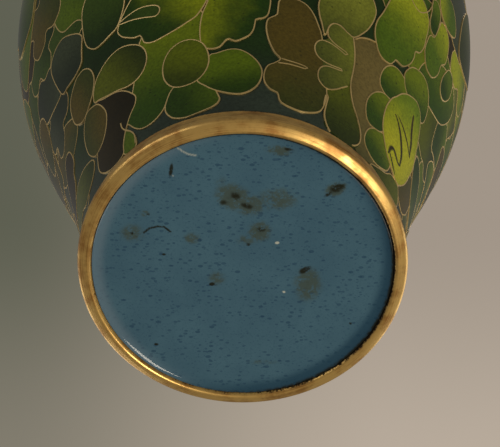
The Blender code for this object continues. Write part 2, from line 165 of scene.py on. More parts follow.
# Leaves of the front, as (angle, length) outlines. Each row: name, CAD leaf it stands for, palette,
# side the light is on, share of the leaf that is light, level above the ground, outline
FRONT_LEAVES = [
    ("broad_top", "", "sunlit", 165, -0.18, 7, [
        (-11, 41), (-12.8, 37), (-13.9, 32), (-13.9, 27), (-13, 25), (-10.5, 24), (-8, 24.3), (-6.5, 25.8),
        (-5.2, 27), (-3, 26), (-1, 26.6), (1.5, 28), (2.8, 30), (3.3, 32.5), (3.6, 33.9), (5.5, 34.4),
        (7, 35.5), (7.6, 38), (7.7, 42), (6.5, 50), (1, 56), (-6, 54), (-9.5, 47),
    ]),
    ("round_bud", "bud_low_front", "moss", 60, 0.10, 9, [
        (-11.5, 20.8), (-12.9, 25.8), (-16.5, 28.6), (-21, 28.9), (-25, 26.8), (-27.3, 22.6),
        (-27.2, 17.8), (-24.6, 14.1), (-20.4, 12.8), (-15.8, 13.6), (-12.6, 16.6),
    ]),
    ("right_petal", "", "bright", 100, 0.10, 8, [
        (-13.5, 19), (-11, 21.8), (-9, 22), (-5, 22.9), (-2, 22.8), (1, 21.5), (4, 19), (5.8, 16),
        (5.8, 13), (4.5, 10), (2, 7.8), (-1, 6.7), (-4, 6.8), (-7, 7.6), (-10, 8.8), (-13, 10.8), (-16, 14),
    ]),
    ("under_petal", "", "green", 20, -0.25, 6, [
        (-18, 17), (-24.5, 13.5), (-26.5, 11), (-27.8, 8), (-27.5, 5.5), (-25.5, 3), (-23, 1.8), (-20, 1.2),
        (-15, 1.8), (-11, 2.8), (-9, 4), (-8.3, 5.5), (-9, 7.2), (-10, 9.5), (-13, 13),
    ]),
    ("tall_leaf", "", "lime", 75, 0.05, 3, [
        (-44.5, 12.5), (-43, 10), (-40.5, 7), (-38, 5.3), (-35, 4.8), (-32, 5.4), (-29, 7.2), (-27, 10),
        (-24.5, 13.5), (-18, 20), (-12, 28), (-12, 36), (-16, 40), (-24, 38), (-33, 37), (-36, 30),
        (-40, 20),
    ]),
    ("two_tone_drop", "drop_low_left", "olive", 200, 0.05, 7, [
        (-56.5, 29.8), (-56, 32.5), (-54.5, 34.8), (-52, 36.5), (-48, 38), (-44, 38.6), (-40, 38),
        (-36, 36), (-33.5, 33.5), (-32.5, 30.5), (-33, 27.5), (-35, 24.8), (-38, 23.5), (-41.5, 23.7),
        (-45, 25), (-50, 26.8), (-54, 28.7),
    ]),
    ("dark_lobe", "", "umber", 180, 0.0, 5, [
        (-56, 29), (-52, 27.2), (-46, 25), (-42.5, 22.7), (-40, 20), (-38.8, 18), (-39.5, 15.5), (-42, 13),
        (-44.8, 9), (-46.5, 5), (-47.5, 1), (-55, 1), (-61, 6), (-60, 15), (-56.5, 23),
    ]),
    ("folded_top", "", "sunlit", 30, 0.0, 8, [
        (-14, 37.5), (-18, 35.3), (-22, 34), (-27, 33.2), (-30, 33.3), (-32.5, 34.6), (-33, 36.5),
        (-33.7, 38), (-35.5, 38.3), (-38, 40), (-40, 42), (-40.5, 45), (-36, 50), (-28, 56), (-18, 58),
        (-11, 54), (-10.5, 44),
    ]),
    ("fold_shadow", "", "deep", 0, 0.3, 9, [
        (-40, 46.3), (-36, 47), (-32, 47), (-28, 45.8), (-26, 44.3), (-26, 42.6), (-27.5, 41.6), (-31, 43),
        (-35, 44.6),
    ]),
    ("upper_left", "", "deep", 70, 0.1, 7, [
        (-40, 46.6), (-44, 45.4), (-48, 45.2), (-50.5, 46), (-52.5, 48.5), (-53, 51), (-52.5, 55),
        (-50, 62), (-44, 66), (-38, 63), (-36, 54),
    ]),
    ("far_left_oval", "", "brown", 0, 0.0, 6, [
        (-57, 29), (-54.5, 27), (-52.5, 23), (-52.5, 20), (-54, 16.5), (-57, 13.5), (-62, 13), (-66, 18),
        (-66, 25), (-62, 30),
    ]),
    ("far_left_lobe", "", "brown", 200, 0.0, 7, [
        (-62, 44.3), (-60, 44.5), (-57, 44), (-54.5, 41.5), (-53.8, 38), (-55, 35), (-58, 32), (-64, 30),
        (-69, 34), (-68, 41),
    ]),
    ("slate_leaf", "", "slate", 60, 0.0, 6, [
        (-70, 49), (-66, 47), (-61, 46), (-57, 47), (-55.5, 50), (-54.5, 52), (-53.5, 54.5), (-56, 58),
        (-62, 62), (-70, 60),
    ]),
    ("sprout", "", "green", 0, 0.3, 4, [
        (-46.5, 13), (-47, 9), (-47.5, 4), (-46, 0.5), (-41, 0.5), (-41, 4.5), (-42.5, 7), (-44.8, 9.5),
    ]),
    ("lobed_brown", "", "brown", 110, 0.1, 6, [
        (24.5, 34), (23.5, 36), (21.5, 39.5), (19, 42), (16, 43), (12.5, 42.8), (10.5, 41.5), (10.2, 38.5),
        (10.0, 36.3), (8.5, 35.2), (7.2, 34), (6.9, 31), (7.8, 27), (9.8, 23), (12, 20.8), (10, 18.9),
        (7.8, 17.5), (6.7, 14.5), (7, 11.5), (9, 9.2), (11.5, 8.3), (12, 6.5), (13, 5), (16, 4), (20, 3.7),
        (24, 4.7), (27, 6.5), (28.4, 9.5), (29, 13.5), (28, 18), (27, 26),
    ]),
    ("glove", "", "khaki", 20, 0.0, 8, [
        (35.3, 38.6), (32.5, 39.2), (30, 40), (28, 39.6), (26.7, 37.8), (26.5, 35.6), (27.2, 33.8),
        (25, 32), (23.4, 30.5), (22.9, 28.5), (23.8, 26.2), (26.4, 24.2), (25.7, 22.2), (25, 20),
        (25.5, 17.6), (27.5, 16), (29.5, 15.9), (32, 17.2), (34.5, 19.3), (37.3, 23), (37.4, 30),
        (36.5, 35),
    ]),
    ("glove_cuff", "", "olive", 90, 0.2, 3, [
        (29, 19), (28.5, 12), (29, 6), (30, 2), (37, 0.5), (42, 1), (44.4, 4), (44.4, 8), (42, 12.5),
        (39.5, 16), (38, 19.5), (37.4, 25), (34, 26),
    ]),
    ("above_glove", "", "khaki", 80, 0.1, 7, [
        (22.6, 46), (23, 41), (24.2, 38), (25.8, 34.4), (27, 38.5), (30, 40.2), (35, 38.8), (38.5, 43),
        (40, 46.5), (40.7, 50), (40.5, 53), (38.5, 56), (33, 62), (26, 58),
    ]),
    ("brown_gap", "", "tan", 90, 0.0, 1, [
        (36.3, 39), (37.4, 31), (37.3, 23), (38, 19.5), (42, 12.5), (44.6, 6.5), (43, 1), (50, 1), (56, 4),
        (56, 20), (56, 40), (50, 42), (42, 43),
    ]),
    ("bright_lobes", "oak_front_right", "yellow", 100, -0.15, 8, [
        (43.8, 59.3), (43.0, 54.6), (41.8, 50.1), (41.9, 46.7), (42.9, 44.0), (44.9, 41.1), (47.3, 40.0),
        (50.4, 40.8), (51.6, 42.6), (52.2, 44.2), (53.7, 44.4), (56.0, 45.3), (58.1, 48.8), (58.6, 52.1),
        (58.2, 54.2), (60.0, 55.8), (60.7, 59.0), (60.2, 62.4), (59.6, 66.1), (58.4, 69.0), (54, 72),
        (48, 70), (44.8, 65),
    ]),
    ("right_tongue", "", "yellow", 90, -0.3, 8, [
        (63.5, 74.8), (63.3, 70.6), (63.0, 66.8), (61.2, 65.3), (61.0, 61.9), (61.6, 58.6), (64.6, 55.5),
        (67.8, 55.6), (69.7, 57.4), (70.6, 60.6), (70.2, 64.0), (71.6, 67.0), (71.0, 70.5), (69, 74.5),
        (66.2, 75.6),
    ]),
    ("right_finger", "", "bright", 90, 0.0, 7, [
        (57.8, 76.9), (58.6, 73.0), (59.3, 69.0), (61.0, 67.0), (63.0, 67.4), (63.3, 70.6), (62.3, 76.0),
        (59.8, 78.6),
    ]),
    ("right_tip", "", "yellow", 200, -0.3, 7, [
        (60.2, 81.5), (62.3, 77.6), (66.0, 76.5), (69.3, 77.7), (71.2, 80.2), (69.7, 84.1), (66.3, 87.5),
        (62.5, 87.0),
    ]),
    ("far_right_oval", "", "green", 90, 0.0, 6, [
        (74.8, 69.0), (73.5, 65.4), (73.4, 61.7), (74.9, 59.2), (77.5, 59.0), (80, 61.5), (81, 66),
        (78.5, 70),
    ]),
    ("oval_top", "", "lime", 90, 0.0, 4, [
        (55.3, 30.6), (52.5, 30.0), (49.9, 30.6), (48.5, 32.2), (48.3, 34.9), (49.2, 38.2), (51.0, 40.6),
        (53.7, 42.2), (57.1, 42.4), (59.7, 41.6), (62.5, 39), (60, 32),
    ]),
    ("oval_middle", "", "lime", 90, -0.1, 5, [
        (54.5, 30), (51, 29.5), (48, 27.3), (46, 24.5), (45, 21.5), (45.2, 18), (46.5, 15.3), (48.5, 14.6),
        (51.5, 15.2), (54, 16.5), (58, 22), (58, 28),
    ]),
    ("oval_low", "", "lime", 60, -0.1, 4, [
        (53.5, 16), (50.5, 14.8), (48, 12.8), (46.7, 10), (46.6, 7.5), (48, 5.3), (51, 3.8), (54, 3.6),
        (57, 4.6), (61, 7), (62, 12), (58, 17),
    ]),
    ("low_lime", "", "olive", 0, 0.3, 3, [
        (51, 1.0), (55, 3), (60, 5), (64, 8), (70, 9), (72, 4), (70, 0.8), (60, 0.4),
    ]),
    ("oval_behind", "", "lime", 120, 0.0, 5, [
        (57.8, 42.8), (57.5, 44.3), (58.2, 46.6), (59.7, 49.0), (62.2, 50.8), (65.3, 52.0), (68.3, 52.0),
        (71.5, 50.2), (74, 46), (73.5, 41), (66, 38), (60, 40),
    ]),
    ("claw", "lance_low_right", "lemon", 300, 0.2, 9, [
        (57.2, 34.0), (55.0, 30.6), (53.6, 25.4), (53.9, 19.2), (56.6, 14.4), (59.9, 11.2), (65.1, 9.1),
        (68.0, 8.8), (70.7, 10.0), (75.1, 15.6), (77.8, 24.5), (77.0, 29.6), (75.6, 33.8), (73.6, 38.2),
        (70.8, 41.4), (67.1, 42.2), (62.4, 39.9), (59.1, 37.0),
    ]),
]

# Leaves whose own outline carries no wire
UNWIRED = {"glove", "glove_cuff", "brown_gap"}

# Dark slits in the claw: widest width in millimetres, (angle, length) points
SLITS = [
    (1.5, [(58.6, 28.0), (60.6, 27.2), (63.7, 24.9), (66.0, 22.2), (67.6, 19.4), (68.0, 15.6)]),
    (1.1, [(60.4, 28.8), (64.2, 28.1), (67.6, 27.1), (70.3, 26.1), (72.8, 24.6)]),
    (1.6, [(67.6, 37.2), (68.6, 34.2), (70.0, 31.2), (71.6, 28.6), (72.9, 24.4)]),
    (1.5, [(59.6, 12.8), (60.2, 15.3), (61.9, 16.7), (64.1, 16.0), (66.2, 15.1), (68.2, 15.8)]),
    (1.0, [(59.4, 14.2), (62.1, 12.3), (64.4, 10.6), (66.0, 9.8)]),
]

# Open wires of the front: level above the ground, (angle, length) points
FRONT_WIRES = [
    (8, [(12.3, 20.9), (15, 20.7), (18, 20.6), (21, 20.3), (20.7, 19.6), (18, 19.5), (15, 19.5),
         (11.2, 19.2)]),
    (8, [(28.2, 9.5), (28.6, 13), (29.1, 13.8), (29.6, 13), (29.0, 9), (28.8, 6), (29.8, 3), (31.5, 1)]),
    (9, [(35, 38.6), (32.5, 39.2), (30, 40), (28, 39.6), (26.7, 37.8), (26.5, 35.6), (27.5, 33.8),
         (30, 32.7), (34, 32.2), (34.4, 31.9), (33.8, 31.2), (31, 31.8), (27.5, 32.3), (25, 32),
         (23.4, 30.5), (22.9, 28.5), (23.8, 26.2), (26, 25), (29, 24.8), (33.3, 25.4), (33.2, 24.8),
         (30, 24.2),
         (27.5, 23.6), (25.7, 22.2), (25, 20), (25.5, 17.6), (27.5, 16), (29.5, 15.9), (32, 17.2),
         (34.5, 19.3), (36.3, 20.9)]),
    (10, [(35.3, 38.5), (36.5, 35), (37.3, 31), (37.4, 27), (37.3, 23), (38, 19.5), (39.5, 16),
          (42, 12.5), (44, 9), (44.6, 6.5), (44.2, 4), (42.4, 2), (41.2, 1.4)]),
    (8, [(36.0, 38.7), (38, 40.6), (40.5, 42), (43.2, 43)]),
    (8, [(-46.5, 13), (-46.2, 11), (-44.8, 9), (-42.5, 7), (-41, 4.5), (-41, 1.5)]),
    (9, [(50.6, 67.6), (52.2, 66.9), (54.3, 66.9), (56.1, 68.6), (57.5, 71.3), (58.0, 74.6), (57.6, 77.5)]),
]


# ---------------------------------------------------------------- wall


def bezier(corners, steps=64):
    """Points of a cubic Bezier curve, as the four corners weighted by the cubic Bernstein polynomials."""
    t = np.linspace(0, 1, steps, endpoint=False)[:, None]
    a, b, c, d = (np.array(corner, float) for corner in corners)
    return (1 - t) ** 3 * a + 3 * t * (1 - t) ** 2 * b + 3 * t**2 * (1 - t) * c + t**3 * d


def direction(slope):
    """The unit vector at a slope in degrees."""
    return np.array((math.cos(math.radians(slope)), math.sin(math.radians(slope))))


def wall_profile():
    """Radius and height of the polished wall: three Bezier curves that meet upright at belly and waist."""
    foot = np.array((FOOT_RADIUS, FOOT_HEIGHT))
    belly = np.array((BELLY_RADIUS, FOOT_HEIGHT + BELLY_RISE))
    waist = np.array((WAIST_RADIUS, belly[1] + SHOULDER_RISE))
    lip = np.array((LIP_RADIUS, waist[1] + LIP_RISE))
    upright = direction(90)
    stretches = (
        (foot, direction(FOOT_SLOPE), FOOT_HANDLES, BELLY_RISE, upright, belly),
        (belly, upright, SHOULDER_HANDLES, SHOULDER_RISE, upright, waist),
        (waist, upright, LIP_HANDLES, LIP_RISE, direction(LIP_SLOPE), lip),
    )
    points = [
        bezier((start, start + leaving * handles[0] * rise, end - arriving * handles[1] * rise, end))
        for start, leaving, handles, rise, arriving, end in stretches
    ]
    return np.vstack([*points, lip])


PROFILE = wall_profile()
LENGTHS = np.concatenate([[0], np.cumsum(np.hypot(*np.diff(PROFILE, axis=0).T))])
WALL_TOP = LENGTHS[-1]
SLOPES = np.gradient(PROFILE, LENGTHS, axis=0)


def wall_section(length, depth):
    """Radius and height: the profile at this length, moved inwards along its normal by the depth."""
    radius, height = (np.interp(length, LENGTHS, PROFILE[:, k]) for k in (0, 1))
    run, rise = (np.interp(length, LENGTHS, SLOPES[:, k]) for k in (0, 1))
    return radius - rise * depth, height + run * depth


def wall_radius(length):
    """Radius of the polished wall at a length up its profile."""
    return np.interp(length, LENGTHS, PROFILE[:, 0])


def turned_point(radius, height, angle):
    """Points at a radius and height, turned round the axis by an angle in degrees from the front."""
    turn = np.radians(angle - 90)
    return np.stack([radius * np.cos(turn), radius * np.sin(turn), height + 0 * turn], axis=-1)


def wall_point(angle, length, depth):
    """Points in space for places on the wall."""
    return turned_point(*wall_section(length, depth), angle)


# ---------------------------------------------------------------- meshes


class Surface:
    """Closed surfaces gathered for one mesh: points in millimetres, faces, and values at the points."""

    def __init__(self):
        self.points = []
        self.faces = []
        self.values = {}
        self.count = 0

    def add(self, points, faces, **values):
        """One more closed surface. A value is one number, a row of numbers or a colour for every point."""
        points = np.asarray(points, float).reshape(-1, 3)
        self.points.append(points)
        self.faces += [np.asarray(group) + self.count for group in faces]
        for label, value in values.items():
            value = np.asarray(value, float)
            shape = (len(points), 3) if value.shape[-1:] == (3,) else (len(points),)
            self.values.setdefault(label, []).append(np.broadcast_to(value, shape))
        self.count += len(points)

    def piece(self, name, material, slot, sharp=40.0):
        """The mesh object, which rides on the body and takes the given finish. The slot is not used."""
        mesh = bpy.data.meshes.new(name)
        sizes = np.concatenate([np.full(len(group), group.shape[1]) for group in self.faces])
        corners = np.concatenate([group.ravel() for group in self.faces])
        mesh.vertices.add(self.count)
        mesh.vertices.foreach_set("co", (np.vstack(self.points) * MM).astype(np.float32).ravel())
        mesh.loops.add(len(corners))
        mesh.loops.foreach_set("vertex_index", corners.astype(np.int32))
        mesh.polygons.add(len(sizes))
        starts = np.concatenate([[0], np.cumsum(sizes)[:-1]])
        mesh.polygons.foreach_set("loop_start", starts.astype(np.int32))
        mesh.update(calc_edges=True)
        mesh.shade_smooth()
        mesh.set_sharp_from_angle(angle=math.radians(sharp))
        for label, parts in self.values.items():
            values = np.concatenate(parts).astype(np.float32)
            if values.ndim == 2:
                values = np.column_stack([values, np.ones(len(values), np.float32)])
                mesh.attributes.new(label, "FLOAT_COLOR", "POINT").data.foreach_set("color", values.ravel())
            else:
                mesh.attributes.new(label, "FLOAT", "POINT").data.foreach_set("value", values)
        mesh.materials.append(material)
        piece = bpy.data.objects.new(name, mesh)
        bpy.context.scene.collection.objects.link(piece)
        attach(piece, "root")
        return piece


def grid_faces(rows, columns, wrap_rows=False, wrap_columns=True):
    """Corners of a grid's faces, counted row by row, each face one step along its row and one row on."""
    row = np.arange(rows if wrap_rows else rows - 1)[:, None]
    column = np.arange(columns if wrap_columns else columns - 1)[None, :]
    on_row, on_column = (row + 1) % rows, (column + 1) % columns
    corners = (
        row * columns + column,
        row * columns + on_column,
        on_row * columns + on_column,
        on_row * columns + column,
    )
    return np.stack(corners, axis=-1).reshape(-1, 4)


def fan_faces(tip, ring):
    """Triangles from one point to each side of a closed ring."""
    ring = np.asarray(ring)
    return np.stack([np.full(len(ring), tip), ring, np.roll(ring, -1)], axis=-1)


def add_turned(surface, section, columns, **values):
    """A closed section of (radius, height), listed down its outer side, carried round the axis."""
    section = np.asarray(section, float)
    angles = np.arange(columns) * 360 / columns
    points = turned_point(section[:, :1], section[:, 1:], angles[None, :])
    faces = grid_faces(len(section), columns, wrap_rows=True)
    along = np.concatenate([[0], np.cumsum(np.hypot(*np.diff(section, axis=0).T))])
    surface.add(points, [faces[:, ::-1]], along=np.repeat(along, columns), **values)


# ---------------------------------------------------------------- curves on the wall


FEWEST_CLOSED_STEPS = 8
FEWEST_OPEN_STEPS = 3


def evenly(points, spacing, closed):
    """The same line with its points at even steps, as near to the spacing as fits."""
    if closed:
        points = np.vstack([points, points[:1]])
    reach = np.concatenate([[0], np.cumsum(np.hypot(*np.diff(points, axis=0).T))])
    fewest = FEWEST_CLOSED_STEPS if closed else FEWEST_OPEN_STEPS
    steps = max(int(round(reach[-1] / spacing)), fewest)
    at = np.linspace(0, reach[-1], steps + 1)
    if closed:
        at = at[:-1]
    return np.column_stack([np.interp(at, reach, points[:, k]) for k in (0, 1)])


def smooth_line(points, spacing, closed=True):
    """A Catmull-Rom curve: through each point, with its slope set by the two neighbours."""
    points = np.asarray(points, float)
    if not closed:
        first, last = 2 * points[0] - points[1], 2 * points[-1] - points[-2]
        points = np.vstack([first, points, last])
    before, after, beyond = (np.roll(points, step, axis=0) for step in (1, -1, -2))
    t = np.linspace(0, 1, 12, endpoint=False)[:, None, None]
    curve = 0.5 * (
        2 * points
        + (after - before) * t
        + (2 * before - 5 * points + 4 * after - beyond) * t**2
        + (3 * points - before - 3 * after + beyond) * t**3
    )
    curve = curve.transpose(1, 0, 2)
    if not closed:
        curve = curve[1:-2]
        curve = np.vstack([curve.reshape(-1, 2), points[-2]])
    return evenly(curve.reshape(-1, 2), spacing, closed)


def sideways(line, closed):
    """Unit vectors to the left of a line, square to it at each of its points."""
    if closed:
        way = np.roll(line, -1, axis=0) - np.roll(line, 1, axis=0)
    else:
        way = np.gradient(line, axis=0)
    way /= np.hypot(*way.T)[:, None]
    return np.column_stack([-way[:, 1], way[:, 0]])


def clear_centre(outline):
    """The point from which all of the outline is in sight with the most room.

    The room at a point is its distance to the nearest of the lines that the outline's sides lie on,
    less than nothing where it lies outside one. The best of a grid of points is taken.
    """
    low, high = outline.min(axis=0), outline.max(axis=0)
    across = np.linspace(0.1, 0.9, 25)
    columns, rows = np.meshgrid(*(low[k] + across * (high - low)[k] for k in (0, 1)))
    tries = np.column_stack([columns.ravel(), rows.ravel()])
    sides = np.roll(outline, -1, axis=0) - outline
    away = outline[None] - tries[:, None]
    room = away[..., 0] * sides[:, 1] - away[..., 1] * sides[:, 0]
    room = (room / np.hypot(*sides.T)).min(axis=1)
    return tries[room.argmax()]


class Place:
    """A flat patch in millimetres, x round the vase and y up it, laid on the wall about a middle place."""

    def __init__(self, angle, length):
        self.angle = angle
        self.length = length
        self.per_degree = float(wall_radius(length)) * math.pi / 180

    def flat(self, places):
        """Millimetres from the middle, for places given as (angle, length)."""
        return (np.asarray(places, float) - (self.angle, self.length)) * (self.per_degree, 1)

    def point(self, flat, depth):
        """Points in space for flat positions, kept just inside the wall's two ends."""
        length = np.clip(self.length + flat[..., 1], EDGE_MARGIN, WALL_TOP - EDGE_MARGIN)
        return wall_point(self.angle + flat[..., 0] / self.per_degree, length, depth)


# ---------------------------------------------------------------- leaves and wires

LIGHT_SWING = 0.8  # how far a leaf's lightness turns from its centre to its lit edge


def add_leaf(surface, place, outline, depth, colours, lit, share, seed, row_spacing=ROW_SPACING):
    """A leaf of enamel: rings of points at centre + part * (outline - centre), for parts from 0 to 1.

    It is closed by a skirt down from the outline and by a back of about half as many rings, which
    follows the wall as the face does. Each point knows the leaf's two colours, how light it is
    (0.5 + swing * distance along the lit side / size + share), and how near the outline it lies.
    """
    ahead = np.roll(outline, -1, axis=0)
    if np.sum(outline[:, 0] * ahead[:, 1] - outline[:, 1] * ahead[:, 0]) < 0:
        outline = outline[::-1]
    centre = clear_centre(outline)
    reach = outline - centre
    size = np.hypot(*reach.T).max()
    rings = max(3, int(math.ceil(size / row_spacing)))
    part = np.linspace(0, 1, rings + 1)[1:, None, None]
    flat = centre + part * reach
    count = len(outline)
    top = place.point(np.vstack([centre[None], flat.reshape(-1, 2)]), depth)
    back_rings = max(2, rings // 2)
    back_part = np.linspace(1, 0, back_rings, endpoint=False)[:, None, None]
    back_flat = (centre + back_part * reach).reshape(-1, 2)
    back = place.point(np.vstack([back_flat, centre[None]]), depth + LEAF_THICKNESS)
    points = np.vstack([top, back])
    last_ring = 1 + (rings - 1) * count + np.arange(count)
    back_ring = 1 + rings * count + np.arange(count)
    faces = [
        fan_faces(0, 1 + np.arange(count)),
        grid_faces(rings, count)[:, ::-1] + 1,
        np.stack([last_ring, back_ring, np.roll(back_ring, -1), np.roll(last_ring, -1)], axis=-1),
        grid_faces(back_rings, count)[:, ::-1] + back_ring[0],
        fan_faces(len(points) - 1, back_ring + (back_rings - 1) * count)[:, ::-1],
    ]
    way = direction(lit)
    lightness = np.concatenate([[0], (part * reach @ way).ravel() / size])
    lightness = 0.5 + LIGHT_SWING * lightness + share
    edge = np.concatenate([[0], np.repeat(part.ravel(), count)])
    spare = np.zeros(back_rings * count + 1)
    surface.add(
        points,
        faces,
        leaf_light=colours[0],
        leaf_dark=colours[1],
        leaf_lightness=np.concatenate([lightness, spare + 0.5]),
        leaf_edge=np.concatenate([edge, spare + 1]),
        leaf_seed=seed,
    )


# A wire's section: across, as shares of half the width, and millimetres down from the enamel
WIRE_SECTION = [(1, 0.30), (1, 0.003), (0.6, -0.012), (-0.6, -0.012), (-1, 0.003), (-1, 0.30)]


def add_wire(surface, place, line, depth, width, closed=True):
    """A flat wire on edge: a narrow section with a bevelled top, carried along the line, square to it."""
    side = sideways(line, closed)
    across = np.array(WIRE_SECTION)[:, 0] * width / 2
    down = depth + np.array(WIRE_SECTION)[:, 1]
    flat = line[:, None] + side[:, None] * across[None, :, None]
    points = place.point(flat, down[None, :] + 0 * flat[..., 0])
    count, corners = points.shape[:2]
    faces = [grid_faces(count, corners, wrap_rows=closed)]
    if not closed:
        start = np.arange(corners)[None]
        faces += [start[:, ::-1], start + (count - 1) * corners]
    surface.add(points, faces)


# ---------------------------------------------------------------- shader nodes


def add_node(tree, kind, inputs=(), **settings):
    """A node with its settings. Each input is a socket to link or a value to set, by name or number."""
    made = tree.nodes.new(kind)
    for name, value in settings.items():
        setattr(made, name, value)
    for name, value in dict(inputs).items():
        if isinstance(value, bpy.types.NodeSocket):
            tree.links.new(value, made.inputs[name])
        else:
            made.inputs[name].default_value = value
    return made


def maths(tree, operation, first, second=0.0):
    """The result of one Math node."""
    return add_node(tree, "ShaderNodeMath", {0: first, 1: second}, operation=operation).outputs[0]


def span(tree, value, low, high, to_low=0.0, to_high=1.0):
    """A value carried smoothly from one range to another."""
    inputs = {"Value": value, "From Min": low, "From Max": high, "To Min": to_low, "To Max": to_high}
    return add_node(tree, "ShaderNodeMapRange", inputs, interpolation_type="SMOOTHSTEP").outputs[0]


def mixed(tree, share, first, second, blend="MIX"):
    """Two colours mixed by a share."""
    first, second = ((*c, 1.0) if isinstance(c, tuple) and len(c) == 3 else c for c in (first, second))
    inputs = {0: share, 6: first, 7: second}
    return add_node(tree, "ShaderNodeMix", inputs, data_type="RGBA", blend_type=blend).outputs[2]


def noise(tree, vector, scale, detail=3.0, roughness=0.5):
    """Cloudy noise from 0 to 1, with its blotches counted per metre."""
    inputs = {"Vector": vector, "Scale": scale, "Detail": detail, "Roughness": roughness}
    return add_node(tree, "ShaderNodeTexNoise", inputs).outputs[0]


def cells(tree, vector, scale):
    """Distance to the nearest of many scattered dots, and three random values of that dot."""
    made = add_node(tree, "ShaderNodeTexVoronoi", {"Vector": vector, "Scale": scale}).outputs
    return made["Distance"], add_node(tree, "ShaderNodeSeparateColor", {0: made["Color"]}).outputs


def attribute(tree, name, output="Fac"):
    """A value or colour that the mesh carries at its points."""
    return add_node(tree, "ShaderNodeAttribute", attribute_name=name).outputs[output]


def place_on_object(tree):
    """Object coordinates, in metres."""
    return add_node(tree, "ShaderNodeTexCoord").outputs["Object"]


def grown(tree, value, other, times):
    """The first value with a number of times the other added."""
    return maths(tree, "ADD", value, maths(tree, "MULTIPLY", other, times))


def swung(tree, value, cloud, width):
    """A value moved up and down by a cloud, over a width in all."""
    return grown(tree, value, maths(tree, "SUBTRACT", cloud, 0.5), width)


FLOAT, COLOUR, VECTOR = "NodeSocketFloat", "NodeSocketColor", "NodeSocketVector"
GIVES = [("Color", COLOUR), ("Roughness", FLOAT), ("Height", FLOAT)]


def new_group(name, takes):
    """An empty node group for a finish, with its sockets, and the sockets that its inside reads."""
    group = bpy.data.node_groups.new(name, "ShaderNodeTree")
    for label, kind, default in takes:
        socket = group.interface.new_socket(label, in_out="INPUT", socket_type=kind)
        socket.default_value = default
    for label, kind in GIVES:
        group.interface.new_socket(label, in_out="OUTPUT", socket_type=kind)
    return group, group.nodes.new("NodeGroupInput").outputs


def finish_group(group, color, roughness, height):
    """Links the group's three results to its output."""
    add_node(group, "NodeGroupOutput", {"Color": color, "Roughness": roughness, "Height": height})
    return group


# Colour of the painted shadow beside the wires
WIRE_SHADE = (0.012, 0.016, 0.006)
PINHOLE = (0.010, 0.014, 0.006)
# Dark colour for grime, also used for the painted shade along the ring's inner edge
GRIME = (0.030, 0.017, 0.006)

# Specks of the blue enamel: dots per metre, share left out, widest radius in cells, strength
SPECKS = ((1250, 0.30, 0.38, 0.50), (760, 0.45, 0.26, 0.60), (360, 0.80, 0.14, 0.80))


def fired_enamel_group():
    """Leaf enamel: two colours fused across the leaf, mottled by firing, with a painted shadow beside the
    wire.
    """
    group, take = new_group(
        "fired enamel",
        [
            ("Light", COLOUR, (0.3, 0.3, 0.02, 1)),
            ("Dark", COLOUR, (0.05, 0.1, 0.01, 1)),
            ("Lightness", FLOAT, 0.5),
            ("Edge", FLOAT, 0.0),
            ("Mottle", FLOAT, 0.5),
            ("Edge Depth", FLOAT, 0.14),
            ("Place", VECTOR, (0, 0, 0)),
        ],
    )
    cloud = noise(group, take["Place"], 160, 4, 0.6)
    share = span(group, swung(group, take["Lightness"], cloud, take["Mottle"]), 0.0, 1.0)
    color = mixed(group, share, take["Dark"], take["Light"])
    grain = span(group, noise(group, take["Place"], 1500, 2, 0.7), 0.3, 0.7, 0.80, 1.16)
    grey = add_node(group, "ShaderNodeCombineColor", {0: grain, 1: grain, 2: grain}).outputs[0]
    color = mixed(group, 1.0, color, grey, "MULTIPLY")
    # Painted shadow: the leaf darkens towards WIRE_SHADE along its wire
    pool = span(group, take["Edge"], 0.72, 1.0)
    color = mixed(group, maths(group, "MULTIPLY", pool, take["Edge Depth"]), color, WIRE_SHADE)
    distance, lot = cells(group, take["Place"], 900)
    chosen = maths(group, "GREATER_THAN", lot[0], 0.86)
    speck = maths(group, "MULTIPLY", span(group, distance, 0.30, 0.16), chosen)
    color = mixed(group, maths(group, "MULTIPLY", speck, 0.55), color, PINHOLE)
    roughness = span(group, noise(group, take["Place"], 260, 3), 0.3, 0.7, 0.16, 0.26)
    height = grown(group, noise(group, take["Place"], 240, 2), speck, -0.4)
    return finish_group(group, color, roughness, height)


def worn_gilt_group():
    """Gilding: brushed round the axis, rubbed to a redder tone, darkened where grime gathers and where
    shade is painted.
    """
    group, take = new_group(
        "worn gilt",
        [
            ("Gold", COLOUR, (0.8, 0.5, 0.15, 1)),
            ("Rubbed", COLOUR, (0.4, 0.2, 0.06, 1)),
            ("Grime", FLOAT, 0.0),
            ("Along", FLOAT, 0.0),
            ("Roughness", FLOAT, 0.3),
            ("Place", VECTOR, (0, 0, 0)),
        ],
    )
    split = add_node(group, "ShaderNodeSeparateXYZ", {0: take["Place"]}).outputs
    brushed = add_node(
        group,
        "ShaderNodeCombineXYZ",
        {
            0: maths(group, "MULTIPLY", split[0], 60.0),
            1: maths(group, "MULTIPLY", split[1], 60.0),
            2: maths(group, "MULTIPLY", take["Along"], 5.0),
        },
    ).outputs[0]
    streak = noise(group, brushed, 1.0, 3, 0.6)
    patch = noise(group, take["Place"], 130, 4, 0.65)
    fine = noise(group, take["Place"], 2200, 3, 0.6)
    rubbed = span(group, grown(group, patch, streak, 0.5), 0.66, 0.92)
    color = mixed(group, rubbed, take["Gold"], take["Rubbed"])
    ragged = swung(group, swung(group, take["Grime"], fine, 1.2), patch, 0.8)
    dirt = span(group, ragged, 0.42, 0.75)
    color = mixed(group, dirt, color, GRIME)
    roughness = grown(group, grown(group, take["Roughness"], rubbed, 0.12), dirt, 0.3)
    roughness = swung(group, roughness, fine, 0.12)
    height = grown(group, grown(group, streak, fine, 0.35), dirt, -0.5)
    return finish_group(group, color, roughness, height)


